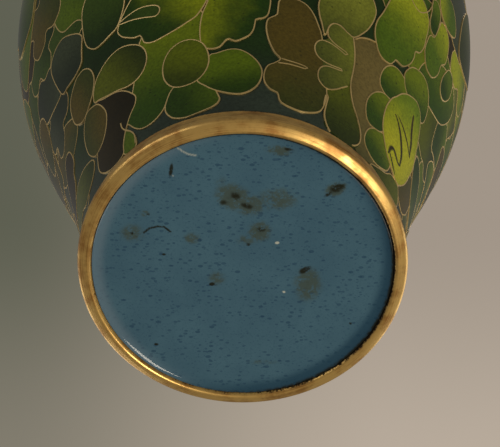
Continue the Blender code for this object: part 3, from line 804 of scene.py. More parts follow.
def speckled_enamel_group():
    """Counter enamel: a clouded, grainy colour with three sizes of darker specks, drawn out sideways."""
    group, take = new_group(
        "speckled enamel",
        [
            ("Color", COLOUR, (0.06, 0.12, 0.15, 1)),
            ("Speck", COLOUR, (0.02, 0.05, 0.1, 1)),
            ("Place", VECTOR, (0, 0, 0)),
        ],
    )
    cloud = span(group, noise(group, take["Place"], 90, 4, 0.6), 0.3, 0.7)
    color = mixed(group, maths(group, "MULTIPLY", cloud, 0.22), take["Color"], take["Speck"])
    grain = span(group, noise(group, take["Place"], 2300, 3, 0.7), 0.52, 0.72)
    color = mixed(group, maths(group, "MULTIPLY", grain, 0.45), color, take["Speck"])
    height = cloud
    stretch = {0: take["Place"], 1: (0.6, 1.0, 1.0)}
    drawn_out = add_node(group, "ShaderNodeVectorMath", stretch, operation="MULTIPLY").outputs[0]
    for scale, rarity, size, strength in SPECKS:
        distance, lot = cells(group, drawn_out, scale)
        reach = maths(group, "MULTIPLY", lot[1], size)
        spot = span(group, maths(group, "SUBTRACT", distance, reach), 0.06, 0.0)
        spot = maths(group, "MULTIPLY", spot, maths(group, "GREATER_THAN", lot[0], rarity))
        color = mixed(group, maths(group, "MULTIPLY", spot, strength), color, take["Speck"])
        height = grown(group, height, spot, -0.3)
    roughness = span(group, noise(group, take["Place"], 400, 3), 0.3, 0.7, 0.14, 0.24)
    return finish_group(group, color, roughness, height)


# ---------------------------------------------------------------- materials


def new_material(name, settings):
    """A material with its Principled shader, whose even values are set on its own sockets."""
    material = bpy.data.materials.new(name)
    material.use_nodes = True
    shader = material.node_tree.nodes["Principled BSDF"]
    for label, value in settings.items():
        shader.inputs[label].default_value = value
    return material, material.node_tree, shader


def use_group(tree, shader, group, inputs, bump):
    """Places a finish group in a material, with a bump of the given depth in millimetres."""
    made = add_node(tree, "ShaderNodeGroup", inputs, node_tree=group)
    tree.links.new(made.outputs["Color"], shader.inputs["Base Color"])
    tree.links.new(made.outputs["Roughness"], shader.inputs["Roughness"])
    relief = add_node(tree, "ShaderNodeBump", {"Height": made.outputs["Height"], "Distance": bump * MM})
    tree.links.new(relief.outputs[0], shader.inputs["Normal"])
    return made


# A glaze: all of its gloss comes from a clear coat over the colour
GLAZE = {"Specular IOR Level": 0.0, "Coat Weight": 1.0, "Coat Roughness": 0.08, "Coat IOR": 1.38}


def leaf_enamel_material(group):
    """Leaf enamel, whose colours come from each leaf's own values."""
    material, tree, shader = new_material("leaf_enamel", GLAZE)
    seed = attribute(tree, "leaf_seed")
    shift = add_node(tree, "ShaderNodeCombineXYZ", {0: seed, 1: seed, 2: seed}).outputs[0]
    place = add_node(tree, "ShaderNodeVectorMath", {0: place_on_object(tree), 1: shift}).outputs[0]
    inputs = {
        "Light": attribute(tree, "leaf_light", "Color"),
        "Dark": attribute(tree, "leaf_dark", "Color"),
        "Lightness": attribute(tree, "leaf_lightness"),
        "Edge": attribute(tree, "leaf_edge"),
        "Place": place,
    }
    use_group(tree, shader, group, inputs, 0.03)
    return material


GROUND_TURN = (4, 26)  # millimetres above the foot between which the ground's colour turns


def ground_enamel_material(group, low, high):
    """Ground enamel: slate green by the foot, turning dark green up the wall, in slow clouds.

    Low and high are the (lighter, darker) colours by the foot and above.
    """
    material, tree, shader = new_material("fired_ground", GLAZE)
    place = place_on_object(tree)
    rise = add_node(tree, "ShaderNodeSeparateXYZ", {0: place}).outputs[2]
    up = span(tree, rise, *((FOOT_HEIGHT + turn) * MM for turn in GROUND_TURN))
    inputs = {
        "Light": mixed(tree, up, low[0], high[0]),
        "Dark": mixed(tree, up, low[1], high[1]),
        "Lightness": noise(tree, place, 45, 3),
        "Place": place,
    }
    use_group(tree, shader, group, inputs, 0.03)
    return material


def gilt_material(name, group, gold, rubbed, roughness, grime="", bump=0.02, metallic=1.0):
    """Gilded metal. The name of a point value may say where grime gathers and where shade is painted."""
    material, tree, shader = new_material(name, {"Metallic": metallic})
    inputs = {
        "Gold": (*gold, 1),
        "Rubbed": (*rubbed, 1),
        "Roughness": roughness,
        "Along": attribute(tree, "along"),
        "Place": place_on_object(tree),
    }
    if grime:
        inputs["Grime"] = attribute(tree, grime)
    use_group(tree, shader, group, inputs, bump)
    return material


def blue_enamel_material(name, group, colour, speck):
    """Speckled blue counter enamel, and its tree, shader and finish group for more to be laid over it."""
    material, tree, shader = new_material(name, GLAZE)
    inputs = {"Color": (*colour, 1), "Speck": (*speck, 1), "Place": place_on_object(tree)}
    return material, tree, shader, use_group(tree, shader, group, inputs, 0.015)


# Each mark on the underside: its point value, how its edges break up, its strength and its colour
UNDERSIDE_TONES = [
    # Painted highlight along the left of the rim, and painted shade along its right
    ("rim_light", 0.0, 0.4, 0.70, (0.125, 0.190, 0.245)),
    ("rim_dark", 0.0, 0.4, 0.75, (0.014, 0.050, 0.090)),
    ("stain", 0.30, 0.62, 0.80, (0.060, 0.078, 0.056)),
    # Dirt spots, and grime with painted shade in a line round the rim
    ("dirt", 0.25, 0.60, 0.95, (0.016, 0.016, 0.008)),
    ("pale", 0.0, 0.3, 0.9, (0.50, 0.52, 0.45)),
]


def underside_material(group, colour, speck):
    """The underside's enamel over the speckled blue: its stains, grime and pale marks, painted shade along
    the right of its rim and a painted highlight along the left.
    """
    material, tree, shader, made = blue_enamel_material("underside_enamel", group, colour, speck)
    place = place_on_object(tree)
    ragged = noise(tree, place, 900, 4, 0.7)
    color = made.outputs["Color"]
    for label, low, high, strength, tone in UNDERSIDE_TONES:
        value = attribute(tree, label)
        value = maths(tree, "MULTIPLY", value, span(tree, ragged, low, high, 0.35, 1.3))
        color = mixed(tree, maths(tree, "MULTIPLY", span(tree, value, 0.08, 0.9), strength), color, tone)
    tree.links.new(color, shader.inputs["Base Color"])
    return material


def copper_material(group):
    """Bare copper, as spun and pickled."""
    return gilt_material("spun_copper", group, (0.72, 0.34, 0.19), (0.40, 0.16, 0.09), 0.34)


# ---------------------------------------------------------------- sizes and colours a user may change


def length_setting(name, description, millimetres):
    """A length that a user may change, held in metres."""
    default = millimetres * MM
    return bpy.props.FloatProperty(
        name=name, description=description, default=default, subtype="DISTANCE", min=0.0, precision=5
    )


def power_setting(name, description, watts):
    """A light's power that a user may change."""
    return bpy.props.FloatProperty(
        name=name, description=description, default=watts, subtype="POWER", min=0.0
    )


def strength_setting(name, description, default):
    """A strength from 0 to 1 that a user may change."""
    return bpy.props.FloatProperty(
        name=name, description=description, default=default, subtype="FACTOR", min=0.0, max=1.0
    )


def colour_setting(name, description, default):
    """A colour that a user may change."""
    return bpy.props.FloatVectorProperty(
        name=name, description=description, default=default, subtype="COLOR", size=3, min=0.0, max=1.0
    )


class VaseFoliage(bpy.types.PropertyGroup):
    """Sizes of the wires and leaves."""

    wire_width: length_setting("Wire width", "Width of the gilt wires seen from outside", 0.31)
    curve_step: length_setting("Curve step", "Distance between the points of a leaf's outline", 0.9)
    row_step: length_setting("Row step", "Distance between rows of leaves at the belly", 13.0)
    column_step: length_setting("Column step", "Distance between leaves of one row at the belly", 15.5)
    seed: bpy.props.IntProperty(
        name="Seed", description="Starts the scatter of the lower leaves", default=11, min=0
    )


class VaseColours(bpy.types.PropertyGroup):
    """Colours of the metal and the plain enamels."""

    gold: colour_setting("Gold", "Gilding of the ring and the mouth", (0.82, 0.52, 0.16))
    rubbed_gold: colour_setting("Rubbed gold", "Gilding where it is worn", (0.42, 0.205, 0.05))
    wire_gold: colour_setting("Wire gold", "Polished wire between the enamels", (0.80, 0.58, 0.24))
    foot_ground: colour_setting("Foot ground", "Ground enamel low on the wall", (0.036, 0.052, 0.036))
    high_ground: colour_setting("Ground above", "Ground enamel higher on the wall", (0.011, 0.028, 0.005))
    blue: colour_setting("Blue", "Counter enamel of the underside and the inside", (0.068, 0.148, 0.205))
    blue_speck: colour_setting("Blue speck", "Specks in the blue enamel", (0.018, 0.054, 0.105))


class VaseStudio(bpy.types.PropertyGroup):
    """Lights and surroundings."""

    key_power: power_setting("Key light", "Warm light below and right of the front", 6.5)
    sky_power: power_setting("Overhead light", "Soft light above the vase", 13.0)
    side_power: power_setting("Side lights", "Each soft light round the vase", 6.0)
    room_light: strength_setting("Room light", "Even light all round", 0.28)
    room_mirrored: strength_setting("Room mirrored", "The room's light as surfaces mirror it", 0.12)
    floor: colour_setting("Floor", "Pale floor", (0.62, 0.60, 0.56))


def settings():
    """The three groups of settings, as the scene holds them."""
    scene = bpy.context.scene
    return scene.vase_foliage, scene.vase_colours, scene.vase_studio


def material(name):
    """A finish by name, made by the operator that lays out the finishes."""
    found = bpy.data.materials.get(name)
    if found is None:
        raise RuntimeError(f"run vase.finishes first: there is no {name}")
    return found


# ---------------------------------------------------------------- operators


def toned(colour, times):
    """A colour made lighter or darker by a factor."""
    return tuple(times * part for part in colour)


class VASE_OT_finishes(bpy.types.Operator):
    """Make the finishes: leaf and ground enamel, gilding, blue enamel and copper"""

    bl_idname = "vase.finishes"
    bl_label = "Finishes"

    def execute(self, context):
        _, colours, _ = settings()
        enamel = fired_enamel_group()
        gilt = worn_gilt_group()
        speckled = speckled_enamel_group()
        leaf_enamel_material(enamel)
        foot, high = colours.foot_ground, colours.high_ground
        low_pair = toned(foot, 1.15), toned(foot, 0.6)
        high_pair = toned(high, 1.5), toned(high, 0.6)
        ground_enamel_material(enamel, low_pair, high_pair)
        wire = tuple(colours.wire_gold)
        gilt_material("wire_gilt", gilt, wire, toned(wire, 0.7), 0.32, bump=0.002, metallic=0.55)
        gold, rubbed = tuple(colours.gold), tuple(colours.rubbed_gold)
        gilt_material("ring_gilt", gilt, gold, rubbed, 0.30, grime="grime", metallic=0.66)
        gilt_material("mouth_gilt", gilt, gold, rubbed, 0.30, metallic=0.66)
        blue, speck = tuple(colours.blue), tuple(colours.blue_speck)
        underside_material(speckled, blue, speck)
        blue_enamel_material("lining_blue", speckled, blue, speck)
        copper_material(gilt)
        return {"FINISHED"}


class VASE_OT_ground(bpy.types.Operator):
    """Lay the ground enamel round the wall"""

    bl_idname = "vase.ground"
    bl_label = "Ground enamel"

    def execute(self, context):
        lengths = np.linspace(WALL_TOP, 0, WALL_ROWS)
        outer = np.column_stack(wall_section(lengths, GROUND_DEPTH))
        inner = np.column_stack(wall_section(lengths[::-4], GROUND_BACK))
        surface = Surface()
        add_turned(surface, np.vstack([outer, inner]), WALL_COLUMNS, leaf_edge=0.0)
        piece = surface.piece("ground_enamel_fine", material("fired_ground"), "ground_enamel")
        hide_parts("ground_enamel")
        return {"FINISHED"}


# The record's slot for each kind of leaf
SLOT_OF = {
    "sunlit": "yellow_enamel", "yellow": "yellow_enamel", "lemon": "yellow_enamel", "lime": "green_enamel",
    "bright": "green_enamel", "green": "green_enamel", "deep": "green_enamel", "slate": "green_enamel",
    "moss": "olive_enamel", "olive": "olive_enamel", "khaki": "olive_enamel", "tan": "brown_enamel",
    "brown": "brown_enamel", "umber": "brown_enamel",
}


class LeafMaker:
    """Gathers leaves in one surface and their wires in another, and makes the two pieces."""

    def __init__(self, coarser=1.0):
        foliage, _, _ = settings()
        self.width = foliage.wire_width / MM
        self.step = foliage.curve_step / MM * coarser
        self.row_spacing = ROW_SPACING * coarser
        self.enamel = Surface()
        self.wires = Surface()
        self.random = np.random.default_rng(foliage.seed)

    def leaf(self, place, outline, depth, palette, lit, share, wired=True):
        """Adds one leaf, smoothed through its outline's points, and the wire round it."""
        outline = smooth_line(outline, self.step)
        seed = float(self.random.uniform(0, 3))
        add_leaf(self.enamel, place, outline, depth, PALETTES[palette], lit, share, seed, self.row_spacing)
        if wired:
            add_wire(self.wires, place, outline, depth, self.width)

    def pieces(self, enamel_name, wire_name, slot, nodes=()):
        """Makes the enamel and wire pieces, which stand for two CAD nodes where those are given."""
        enamel = self.enamel.piece(enamel_name, material("leaf_enamel"), slot)
        wires = self.wires.piece(wire_name, material("wire_gilt"), "gilt", sharp=60)
        for piece, node in zip((enamel, wires), nodes):
            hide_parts(node)


TOP_LEVEL = 9  # of the uppermost leaves
SLIT_STEP = 0.5
SLIT_RELIEF = 0.012
SLIT_THICKNESS = 0.1


def level_depth(level):
    """Depth of a leaf drawn one by one, by its level."""
    return FRONT_DEPTH - LAYER_STEP * level


def middle_of(places):
    """The flat patch about the middle of some places on the wall."""
    places = np.asarray(places, float)
    return Place(*((places.min(axis=0) + places.max(axis=0)) / 2))


class VASE_OT_front_leaves(bpy.types.Operator):
    """Lay the leaves low on the front, each over the one below it"""

    bl_idname = "vase.front_leaves"
    bl_label = "Front leaves"

    def execute(self, context):
        shared = LeafMaker()
        for name, node, palette, lit, share, level, outline in FRONT_LEAVES:
            maker = LeafMaker() if node else shared
            place = middle_of(outline)
            wired = name not in UNWIRED
            maker.leaf(place, place.flat(outline), level_depth(level), palette, lit, share, wired)
            if name == "claw":
                self.slits(maker)
            if node:
                nodes = (f"enamel_{node}", f"wire_{node}")
                maker.pieces(f"leaf_{name}", f"wire_{name}", SLOT_OF[palette], nodes)
        for level, line in FRONT_WIRES:
            place = middle_of(line)
            line = smooth_line(place.flat(line), shared.step, closed=False)
            add_wire(shared.wires, place, line, level_depth(level), shared.width, closed=False)
        shared.pieces("leaves_front", "wires_front", "green_enamel")
        return {"FINISHED"}

    def slits(self, maker):
        """Dark slits, half as wide to each side as width * the root of a sine along the path."""
        for width, line in SLITS:
            place = middle_of(line)
            line = smooth_line(place.flat(line), SLIT_STEP, closed=False)
            along = np.linspace(0.2, math.pi - 0.2, len(line))[:, None]
            half = sideways(line, closed=False) * 0.5 * width * np.sin(along) ** 0.5
            add_slit(maker.enamel, place, line, half, level_depth(TOP_LEVEL) - SLIT_RELIEF)


def add_slit(surface, place, line, half, depth):
    """A thin strip of enamel, brown along the middle: rows of points across the path, closed below."""
    share = np.linspace(-1, 1, 7)
    top = line + share[:, None, None] * half
    points = np.vstack([place.point(top, down).reshape(-1, 3) for down in (depth, depth + SLIT_THICKNESS)])
    rows, columns = top.shape[:2]
    faces = grid_faces(rows, columns, wrap_columns=False)
    count = rows * columns
    number = np.arange(count).reshape(rows, columns)
    border = np.concatenate([number[0, :-1], number[:-1, -1], number[-1, :0:-1], number[:0:-1, 0]])
    onwards = np.roll(border, -1)
    skirt = np.stack([border, border + count, onwards + count, onwards], axis=-1)
    surface.add(
        points,
        [faces, faces[:, ::-1] + count, skirt],
        leaf_light=(0.30, 0.31, 0.010),
        leaf_dark=PALETTES["umber"][0],
        leaf_lightness=np.tile(np.repeat(np.abs(share) ** 2.2 * 1.1, columns), 2),
        leaf_edge=0.3,
        leaf_seed=0.5,
    )


class VASE_OT_upper_leaves(bpy.types.Operator):
    """Lay the leaves that lie uppermost on the rest of the wall"""

    bl_idname = "vase.upper_leaves"
    bl_label = "Upper leaves"

    def execute(self, context):
        for name, shape, angle, length, turn, size, palette, lit in UPPER_LEAVES:
            maker = LeafMaker()
            place = Place(angle, length)
            outline = turned_outline(LEAF_SHAPES[shape], turn, size)
            maker.leaf(place, outline, level_depth(TOP_LEVEL), palette, lit, 0.0)
            nodes = (f"enamel_{name}", f"wire_{name}")
            maker.pieces(f"leaf_{name}", f"wire_{name}_fine", SLOT_OF[palette], nodes)
        return {"FINISHED"}


def turned_outline(outline, turn, size):
    """An outline turned about its middle by degrees, and scaled."""
    cosine, sine = direction(turn)
    return np.asarray(outline, float) @ np.array([(cosine, sine), (-sine, cosine)]) * size


# The lower leaves are joined by zone: its name, and the length up the wall where it ends
ZONES = [("low", 62.0), ("belly", 112.0), ("shoulder", 162.0), ("neck", 400.0)]

# Palettes of the lower leaves, with how often each is drawn
LOWER_PALETTES = [
    ("yellow", 1.6), ("sunlit", 1.4), ("lime", 2.4), ("bright", 2.4), ("green", 2.6), ("deep", 2.0),
    ("olive", 2.2), ("khaki", 1.0), ("brown", 2.2), ("umber", 1.0), ("slate", 0.8),
]

# Palettes low on the left and low on the right, and the length up the wall where they end
DIM_PALETTES = ["slate", "brown", "deep", "olive", "slate", "umber"]
MIDDLE_PALETTES = ["lime", "green", "khaki", "olive", "brown", "bright"]
LOW_SIDE_TOP = 75
LOW_SIDE = (56, 112)  # degrees from the front

LOWER_SHAPES = {
    **LEAF_SHAPES,
    "oval": [(0, -8.5), (5, -6.5), (7.2, 0), (5.2, 6.8), (0, 9), (-5.2, 6.8), (-7.2, 0), (-5, -6.5)],
    "trefoil": [
        (0, -11), (4.5, -8), (5.4, -4), (10.5, -3.5), (12.5, 1.5), (9, 6), (4.8, 6.2), (3.8, 11), (-1, 13),
        (-5.4, 10.5), (-5.6, 6), (-10, 5.4), (-12.6, 1), (-10, -3.8), (-5.2, -4), (-4.2, -8),
    ],
}


class VASE_OT_lower_leaves(bpy.types.Operator):
    """Scatter the lower leaves in rows up the wall, smaller where the wall is narrow"""

    bl_idname = "vase.lower_leaves"
    bl_label = "Lower leaves"

    def execute(self, context):
        foliage, _, _ = settings()
        row_step, column_step = foliage.row_step / MM, foliage.column_step / MM
        zones = {name: LeafMaker(LOWER_COARSER) for name, _ in ZONES}
        random = np.random.default_rng(foliage.seed)
        shapes = list(LOWER_SHAPES)
        names, weights = zip(*LOWER_PALETTES)
        weights = np.array(weights) / sum(weights)
        length, row = 5.0, 0
        while length < WALL_TOP - 3:
            size = 0.42 + 0.58 * wall_radius(length) / BELLY_RADIUS
            columns = 2 * max(3, int(round(math.pi * wall_radius(length) / (column_step * size))))
            for column in range(columns):
                angle = (column + 0.5 * (row % 2) + random.uniform(-0.18, 0.18)) * 360 / columns - 180
                here = length + random.uniform(-0.18, 0.18) * row_step * size
                shape = shapes[random.integers(len(shapes))]
                palette = names[random.choice(len(names), p=weights)]
                turn = random.uniform(0, 360)
                scale = size * random.uniform(0.9, 1.12)
                lit = random.uniform(0, 360)
                share = random.uniform(-0.2, 0.2)
                if is_drawn_front(angle, here):
                    continue
                if LOW_SIDE[0] < abs(angle) < LOW_SIDE[1] and here < LOW_SIDE_TOP:
                    side_palettes = DIM_PALETTES if angle < 0 else MIDDLE_PALETTES
                    palette = side_palettes[random.integers(len(side_palettes))]
                zone = next(name for name, top in ZONES if here < top)
                level = 1 + column % 2 + 2 * (row % 3)
                outline = turned_outline(LOWER_SHAPES[shape], turn, scale)
                depth = UNDER_DEPTH - LAYER_STEP * level
                zones[zone].leaf(Place(angle, here), outline, depth, palette, lit, share)
            length += row_step * size
            row += 1
        for name, maker in zones.items():
            maker.pieces(f"leaves_{name}", f"wires_{name}", "green_enamel")
        return {"FINISHED"}


def is_drawn_front(angle, length):
    """Whether a place lies where the front leaves are drawn one by one."""
    angle = abs(angle)
    return (angle < 76 and length < 50) or (angle < 58 and length < 68)


def dirty_side(x, radius):
    """How strong the grime and painted shade along the inner edge are, by side: little on the left, most on
    the right, where the inner wall faces away from the key light.
    """
    return np.clip(0.5 + 0.6 * x / radius, 0.22, 1.0)


def band(value, middle, width):
    """A soft band: one at the middle, fading as exp(-(distance / width) ** 2)."""
    return np.exp(-(((value - middle) / width) ** 2))


RING_COLUMNS = 420
RING_CLEARANCE = 0.35  # from the CAD underside's edge to the ring's inner wall
RING_GAP = 0.02  # under the wall
REST_INSET = 1.0  # from the ring's inner wall to the circle that it rests on
BEVEL_INSET = 0.7  # from the ring's widest place to the top of its bevel
BEVEL_HEIGHT = 0.65
WIDEST_HEIGHT = 1.9
ROLL_HEIGHT = 1.7  # where the roll into the ring ends


class VASE_OT_foot_ring(bpy.types.Operator):
    """Turn the gilt foot ring, with grime and painted shade along its inner side, and grime along its bevel
    and its joint with the wall
    """

    bl_idname = "vase.foot_ring"
    bl_label = "Foot ring"

    def execute(self, context):
        outer = RING_HIGH[0]
        inner = BASE_HIGH[0] + RING_CLEARANCE
        top = FOOT_HEIGHT - RING_GAP
        joint = (FOOT_RADIUS, top)
        widest = (outer, WIDEST_HEIGHT)
        bevel = (outer - BEVEL_INSET, BEVEL_HEIGHT)
        rest = (inner + REST_INSET, 0.0)
        roll = (inner, ROLL_HEIGHT)
        section = np.vstack([
            bezier((joint, (FOOT_RADIUS + 0.05, 5.0), (outer, 4.2), widest), 14),
            bezier((widest, (outer, 1.25), (outer - 0.25, 0.88), bevel), 8),
            bezier((bevel, (outer - 1.2, 0.39), (rest[0] + 0.35, 0.03), rest), 10),
            bezier((rest, (rest[0] - 0.6, 0.0), (inner + 0.05, 0.5), roll), 12),
            [roll, (inner, BASE_LOW[2] + 0.6), (inner, top - 0.3), (inner + 0.4, top)],
            [(FOOT_RADIUS - 0.5, top)],
        ])
        radius, height = section.T
        # The inner side gets grime and painted shade, darker on the right where it faces away from the key
        # light
        lip = band(radius, inner, 0.52) * (height < 3)
        outside = radius > outer - 1.5
        lines = 0.75 * band(height, top, 0.28) * outside + 0.34 * band(height, 1.0, 0.35) * outside
        angles = np.radians(np.arange(RING_COLUMNS) * 360 / RING_COLUMNS)
        side = 0.35 + 0.65 * dirty_side(np.sin(angles), 1.0)
        grime = 0.95 * lip[:, None] * side + lines[:, None]
        surface = Surface()
        add_turned(surface, section, RING_COLUMNS, grime=grime.ravel())
        piece = surface.piece("foot_ring_gilt", material("ring_gilt"), "gilt")
        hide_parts("foot_ring")
        return {"FINISHED"}


def spot(x, y, mark):
    """A soft ellipse: one at its middle, fading as exp(-(distance / radius) ** 3)."""
    middle_x, middle_y, half_x, half_y, turn, strength = mark
    cosine, sine = direction(turn)
    along = ((x - middle_x) * cosine + (y - middle_y) * sine) / half_x
    across = ((y - middle_y) * cosine - (x - middle_x) * sine) / half_y
    return strength * np.exp(-np.hypot(along, across) ** 3)


def hair(x, y, line, width):
    """A fine line: one on the line, fading as exp(-(distance / width) ** 2)."""
    nearest = np.full(x.shape, 1e9)
    for (x0, y0), (x1, y1) in zip(line[:-1], line[1:]):
        run_x, run_y = x1 - x0, y1 - y0
        share = np.clip(((x - x0) * run_x + (y - y0) * run_y) / (run_x**2 + run_y**2), 0, 1)
        nearest = np.minimum(nearest, np.hypot(x - x0 - share * run_x, y - y0 - share * run_y))
    return band(nearest, 0.0, width)


# Marks on the underside: middle x and y, two half widths, turn in degrees, strength
STAINS = [
    (-2.2, -17.4, 3.6, 2.9, 20, 1.2), (1.4, -15.4, 3.0, 2.4, 0, 1.1), (7.4, -16.9, 4.4, 2.8, 0, 0.75),
    (3.6, -8.8, 2.4, 2.6, 30, 1.0), (0.8, -6.8, 2.4, 1.4, 0, 0.6), (14.3, 4.4, 3.0, 4.4, 0, 0.85),
    (19.7, -19.5, 2.2, 1.5, -25, 1.4),
    (-5.6, 3.0, 2.0, 2.0, 0, 0.65), (-23.9, -8.3, 2.6, 2.3, 0, 0.7), (-11.0, -7.1, 1.8, 1.4, 0, 0.75),
    (7.6, -28.6, 3.0, 1.2, 8, 0.9), (-4.7, -20.7, 1.6, 2.0, 0, 0.35), (4.5, 25.0, 4.0, 0.7, 0, 0.45),
    (-21.0, -13.2, 1.0, 0.8, 0, 0.9),
]
DIRT_SPOTS = [
    (13.6, 0.7, 1.5, 0.7, -30, 1.0), (-6.7, 4.5, 0.55, 0.42, 0, 1.4), (-23.9, -8.3, 0.4, 0.3, 0, 1.2),
    (-15.3, -23.7, 0.42, 1.6, 8, 1.1), (20.0, -19.8, 1.7, 1.1, -25, 1.0),
    (18.2, -18.2, 1.2, 0.45, -35, 0.8), (9.6, -28.9, 1.1, 0.35, 10, 1.0), (-1.6, -17.6, 1.3, 1.0, 40, 0.7),
    (0.8, -15.2, 1.6, 0.7, 20, 0.7), (-4.2, -16.0, 0.9, 0.7, 0, 0.6), (3.9, -9.4, 1.1, 0.7, 0, 0.7),
    (1.2, -5.6, 0.5, 0.35, 0, 0.8), (-17.1, -3.0, 0.4, 0.28, 0, 1.2),
    (-19.2, 20.4, 0.45, 0.32, 0, 1.1), (-20.4, -13.0, 0.4, 0.3, 0, 0.9), (24.0, 14.5, 0.35, 0.3, 0, 0.9),
]
PALE_SPOTS = [
    (7.4, -6.1, 0.42, 0.3, 0, 1.2), (9.1, 6.4, 0.34, 0.26, 0, 1.0), (-14.9, -22.4, 0.4, 0.22, 20, 0.5),
]
PALE_HAIR = [(-13.8, -29.3), (-12.8, -28.3), (-11.6, -27.6), (-10.0, -27.3)]
DARK_HAIR = [(-21.3, -8.4), (-20.2, -9.5), (-18.3, -10.0), (-17.0, -9.9), (-15.6, -8.7)]


UNDERSIDE_RINGS = 100
UNDERSIDE_COLUMNS = 600
CLIMB_HEIGHT = 0.85  # how far the enamel rises against the ring
CLIMB_WIDTH = 0.75


class VASE_OT_underside(bpy.types.Operator):
    """Lay the blue enamel of the underside, with its marks and a painted highlight and painted shade at its
    rim, drawn up a little where it meets the ring
    """

    bl_idname = "vase.underside"
    bl_label = "Underside enamel"

    def execute(self, context):
        edge = BASE_HIGH[0] + RING_CLEARANCE - RING_GAP
        rings, columns = UNDERSIDE_RINGS, UNDERSIDE_COLUMNS
        radius = np.linspace(0, edge, rings + 1)[1:]
        angle = np.arange(columns) * 360 / columns
        climb = CLIMB_HEIGHT * np.exp(-(edge - radius) / CLIMB_WIDTH)
        under = turned_point(radius[:, None], (BASE_LOW[2] - climb)[:, None], angle[None]).reshape(-1, 3)
        over = turned_point(edge, BASE_HIGH[2], angle)
        points = np.vstack([(0, 0, BASE_LOW[2]), under, over, (0, 0, BASE_HIGH[2])])
        last = 1 + (rings - 1) * columns + np.arange(columns)
        top = last + columns
        faces = [
            fan_faces(0, 1 + np.arange(columns))[:, ::-1],
            grid_faces(rings, columns) + 1,
            np.stack([last, np.roll(last, -1), np.roll(top, -1), top], axis=-1),
            fan_faces(len(points) - 1, top),
        ]
        x, y = points[:, 0], points[:, 1]
        out = np.hypot(x, y)
        # Painted shade on the rim's right side and a painted highlight on its left, where the enamel climbs
        # the ring
        way_dark = np.clip((x * 0.80 + y * 0.60) / np.maximum(out, 1), 0, 1)
        way_light = np.clip((-x * 0.95 - y * 0.1) / np.maximum(out, 1), 0, 1)
        dirt_marks = [*(spot(x, y, mark) for mark in DIRT_SPOTS), hair(x, y, DARK_HAIR, 0.24)]
        pale_marks = [*(spot(x, y, mark) for mark in PALE_SPOTS), 0.55 * hair(x, y, PALE_HAIR, 0.25)]
        surface = Surface()
        surface.add(
            points,
            faces,
            stain=np.max([spot(x, y, mark) for mark in STAINS], axis=0),
            # Dirt spots, and grime with painted shade along the rim, darker on the right
            dirt=np.max(dirt_marks, axis=0) + 1.1 * band(out, edge, 0.34) * dirty_side(x, edge),
            pale=np.max(pale_marks, axis=0),
            rim_dark=band(out, edge, 2.6) * way_dark,
            rim_light=band(out, edge, 2.4) * way_light,
        )
        piece = surface.piece("underside_enamel", material("underside_enamel"), "blue_enamel")
        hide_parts("base_enamel")
        return {"FINISHED"}


class VASE_OT_lining(bpy.types.Operator):
    """Lay the blue lining down the inside and over the floor"""

    bl_idname = "vase.lining"
    bl_label = "Lining"

    def execute(self, context):
        lengths = np.linspace(WALL_TOP - 0.2, 1.0, LINING_ROWS)
        outer = np.column_stack(wall_section(lengths, LINING_DEPTH))
        inner = np.column_stack(wall_section(lengths[::-1], LINING_BACK))
        foot = BASE_HIGH[0]
        low = LINING_LOW[2]
        high = low + LINING_BACK - LINING_DEPTH
        under = [(foot - 0.3, low + 1.6), (foot - 0.6, low + 0.4), (foot - 1.4, low), (LINING_HOLE, low)]
        over = [(LINING_HOLE, high), (foot - 3.0, high), (foot - 1.6, high + 1.0)]
        surface = Surface()
        add_turned(surface, np.vstack([outer, under, over, inner]), LINING_COLUMNS)
        piece = surface.piece("lining_blue", material("lining_blue"), "blue_enamel")
        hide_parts("lining_enamel")
        return {"FINISHED"}


BEAD_SIDES = 36
BEAD_COLUMNS = 300
BEAD_PULL = 0.18  # how far the bead is drawn in towards the wall, as a share of its radius


class VASE_OT_mouth_bead(bpy.types.Operator):
    """Turn the gilt bead that binds the mouth"""

    bl_idname = "vase.mouth_bead"
    bl_label = "Mouth bead"

    def execute(self, context):
        half = (BEAD_HIGH[2] - BEAD_LOW[2]) / 2
        middle = (BEAD_HIGH[0] - half, BEAD_HIGH[2] - half)
        turn = np.radians(90 - np.arange(BEAD_SIDES) * 360 / BEAD_SIDES)
        ring = np.column_stack([np.cos(turn), np.sin(turn)]) * half
        back = direction(LIP_SLOPE + 180)
        pulled = np.clip(ring @ back, 0, None)[:, None] * back * BEAD_PULL
        surface = Surface()
        add_turned(surface, ring + pulled + middle, BEAD_COLUMNS)
        piece = surface.piece("mouth_bead_gilt", material("mouth_gilt"), "gilt")
        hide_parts("mouth_bead")
        return {"FINISHED"}


class VASE_OT_copper(bpy.types.Operator):
    """Give the copper body its bare finish"""

    bl_idname = "vase.copper"
    bl_label = "Copper body"

    def execute(self, context):
        for name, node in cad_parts.items():
            if name.startswith("copper"):
                node.data.materials.clear()
                node.data.materials.append(material("spun_copper"))
        return {"FINISHED"}


# ---------------------------------------------------------------- stage

LENS = 129.6
CAMERA_PLACE = Vector((0.0, -0.2036, -0.3337))
CAMERA_AIM = Vector((0.0015, -0.0118, 0.0))
FLOOR_SIZE = 6.0
BACKDROP_SIZE = 0.5
BACKDROP_DISTANCE = 1.45
BACKDROP_SIDES = (-0.20, 0.13)  # along X, between which it turns from shaded to lit
BACKDROP_RISE = (0.93, 0.82)  # along Z, between which it turns from high to low
HIGH_SHADED, LOW_SHADED = (0.105, 0.110, 0.078), (0.225, 0.205, 0.160)
HIGH_LIT, LOW_LIT = (0.37, 0.31, 0.255), (0.51, 0.43, 0.35)
BACKDROP_CLOUD = (0.2, 0.19, 0.15)
ROOM_COLOUR = (0.80, 0.77, 0.70, 1)
WARM, PLAIN = (1.0, 0.90, 0.74), (1.0, 0.97, 0.93)
WINDOW_LIGHT = Vector((0.55, -0.12, -0.83))
WINDOW_DISTANCE = 1.1
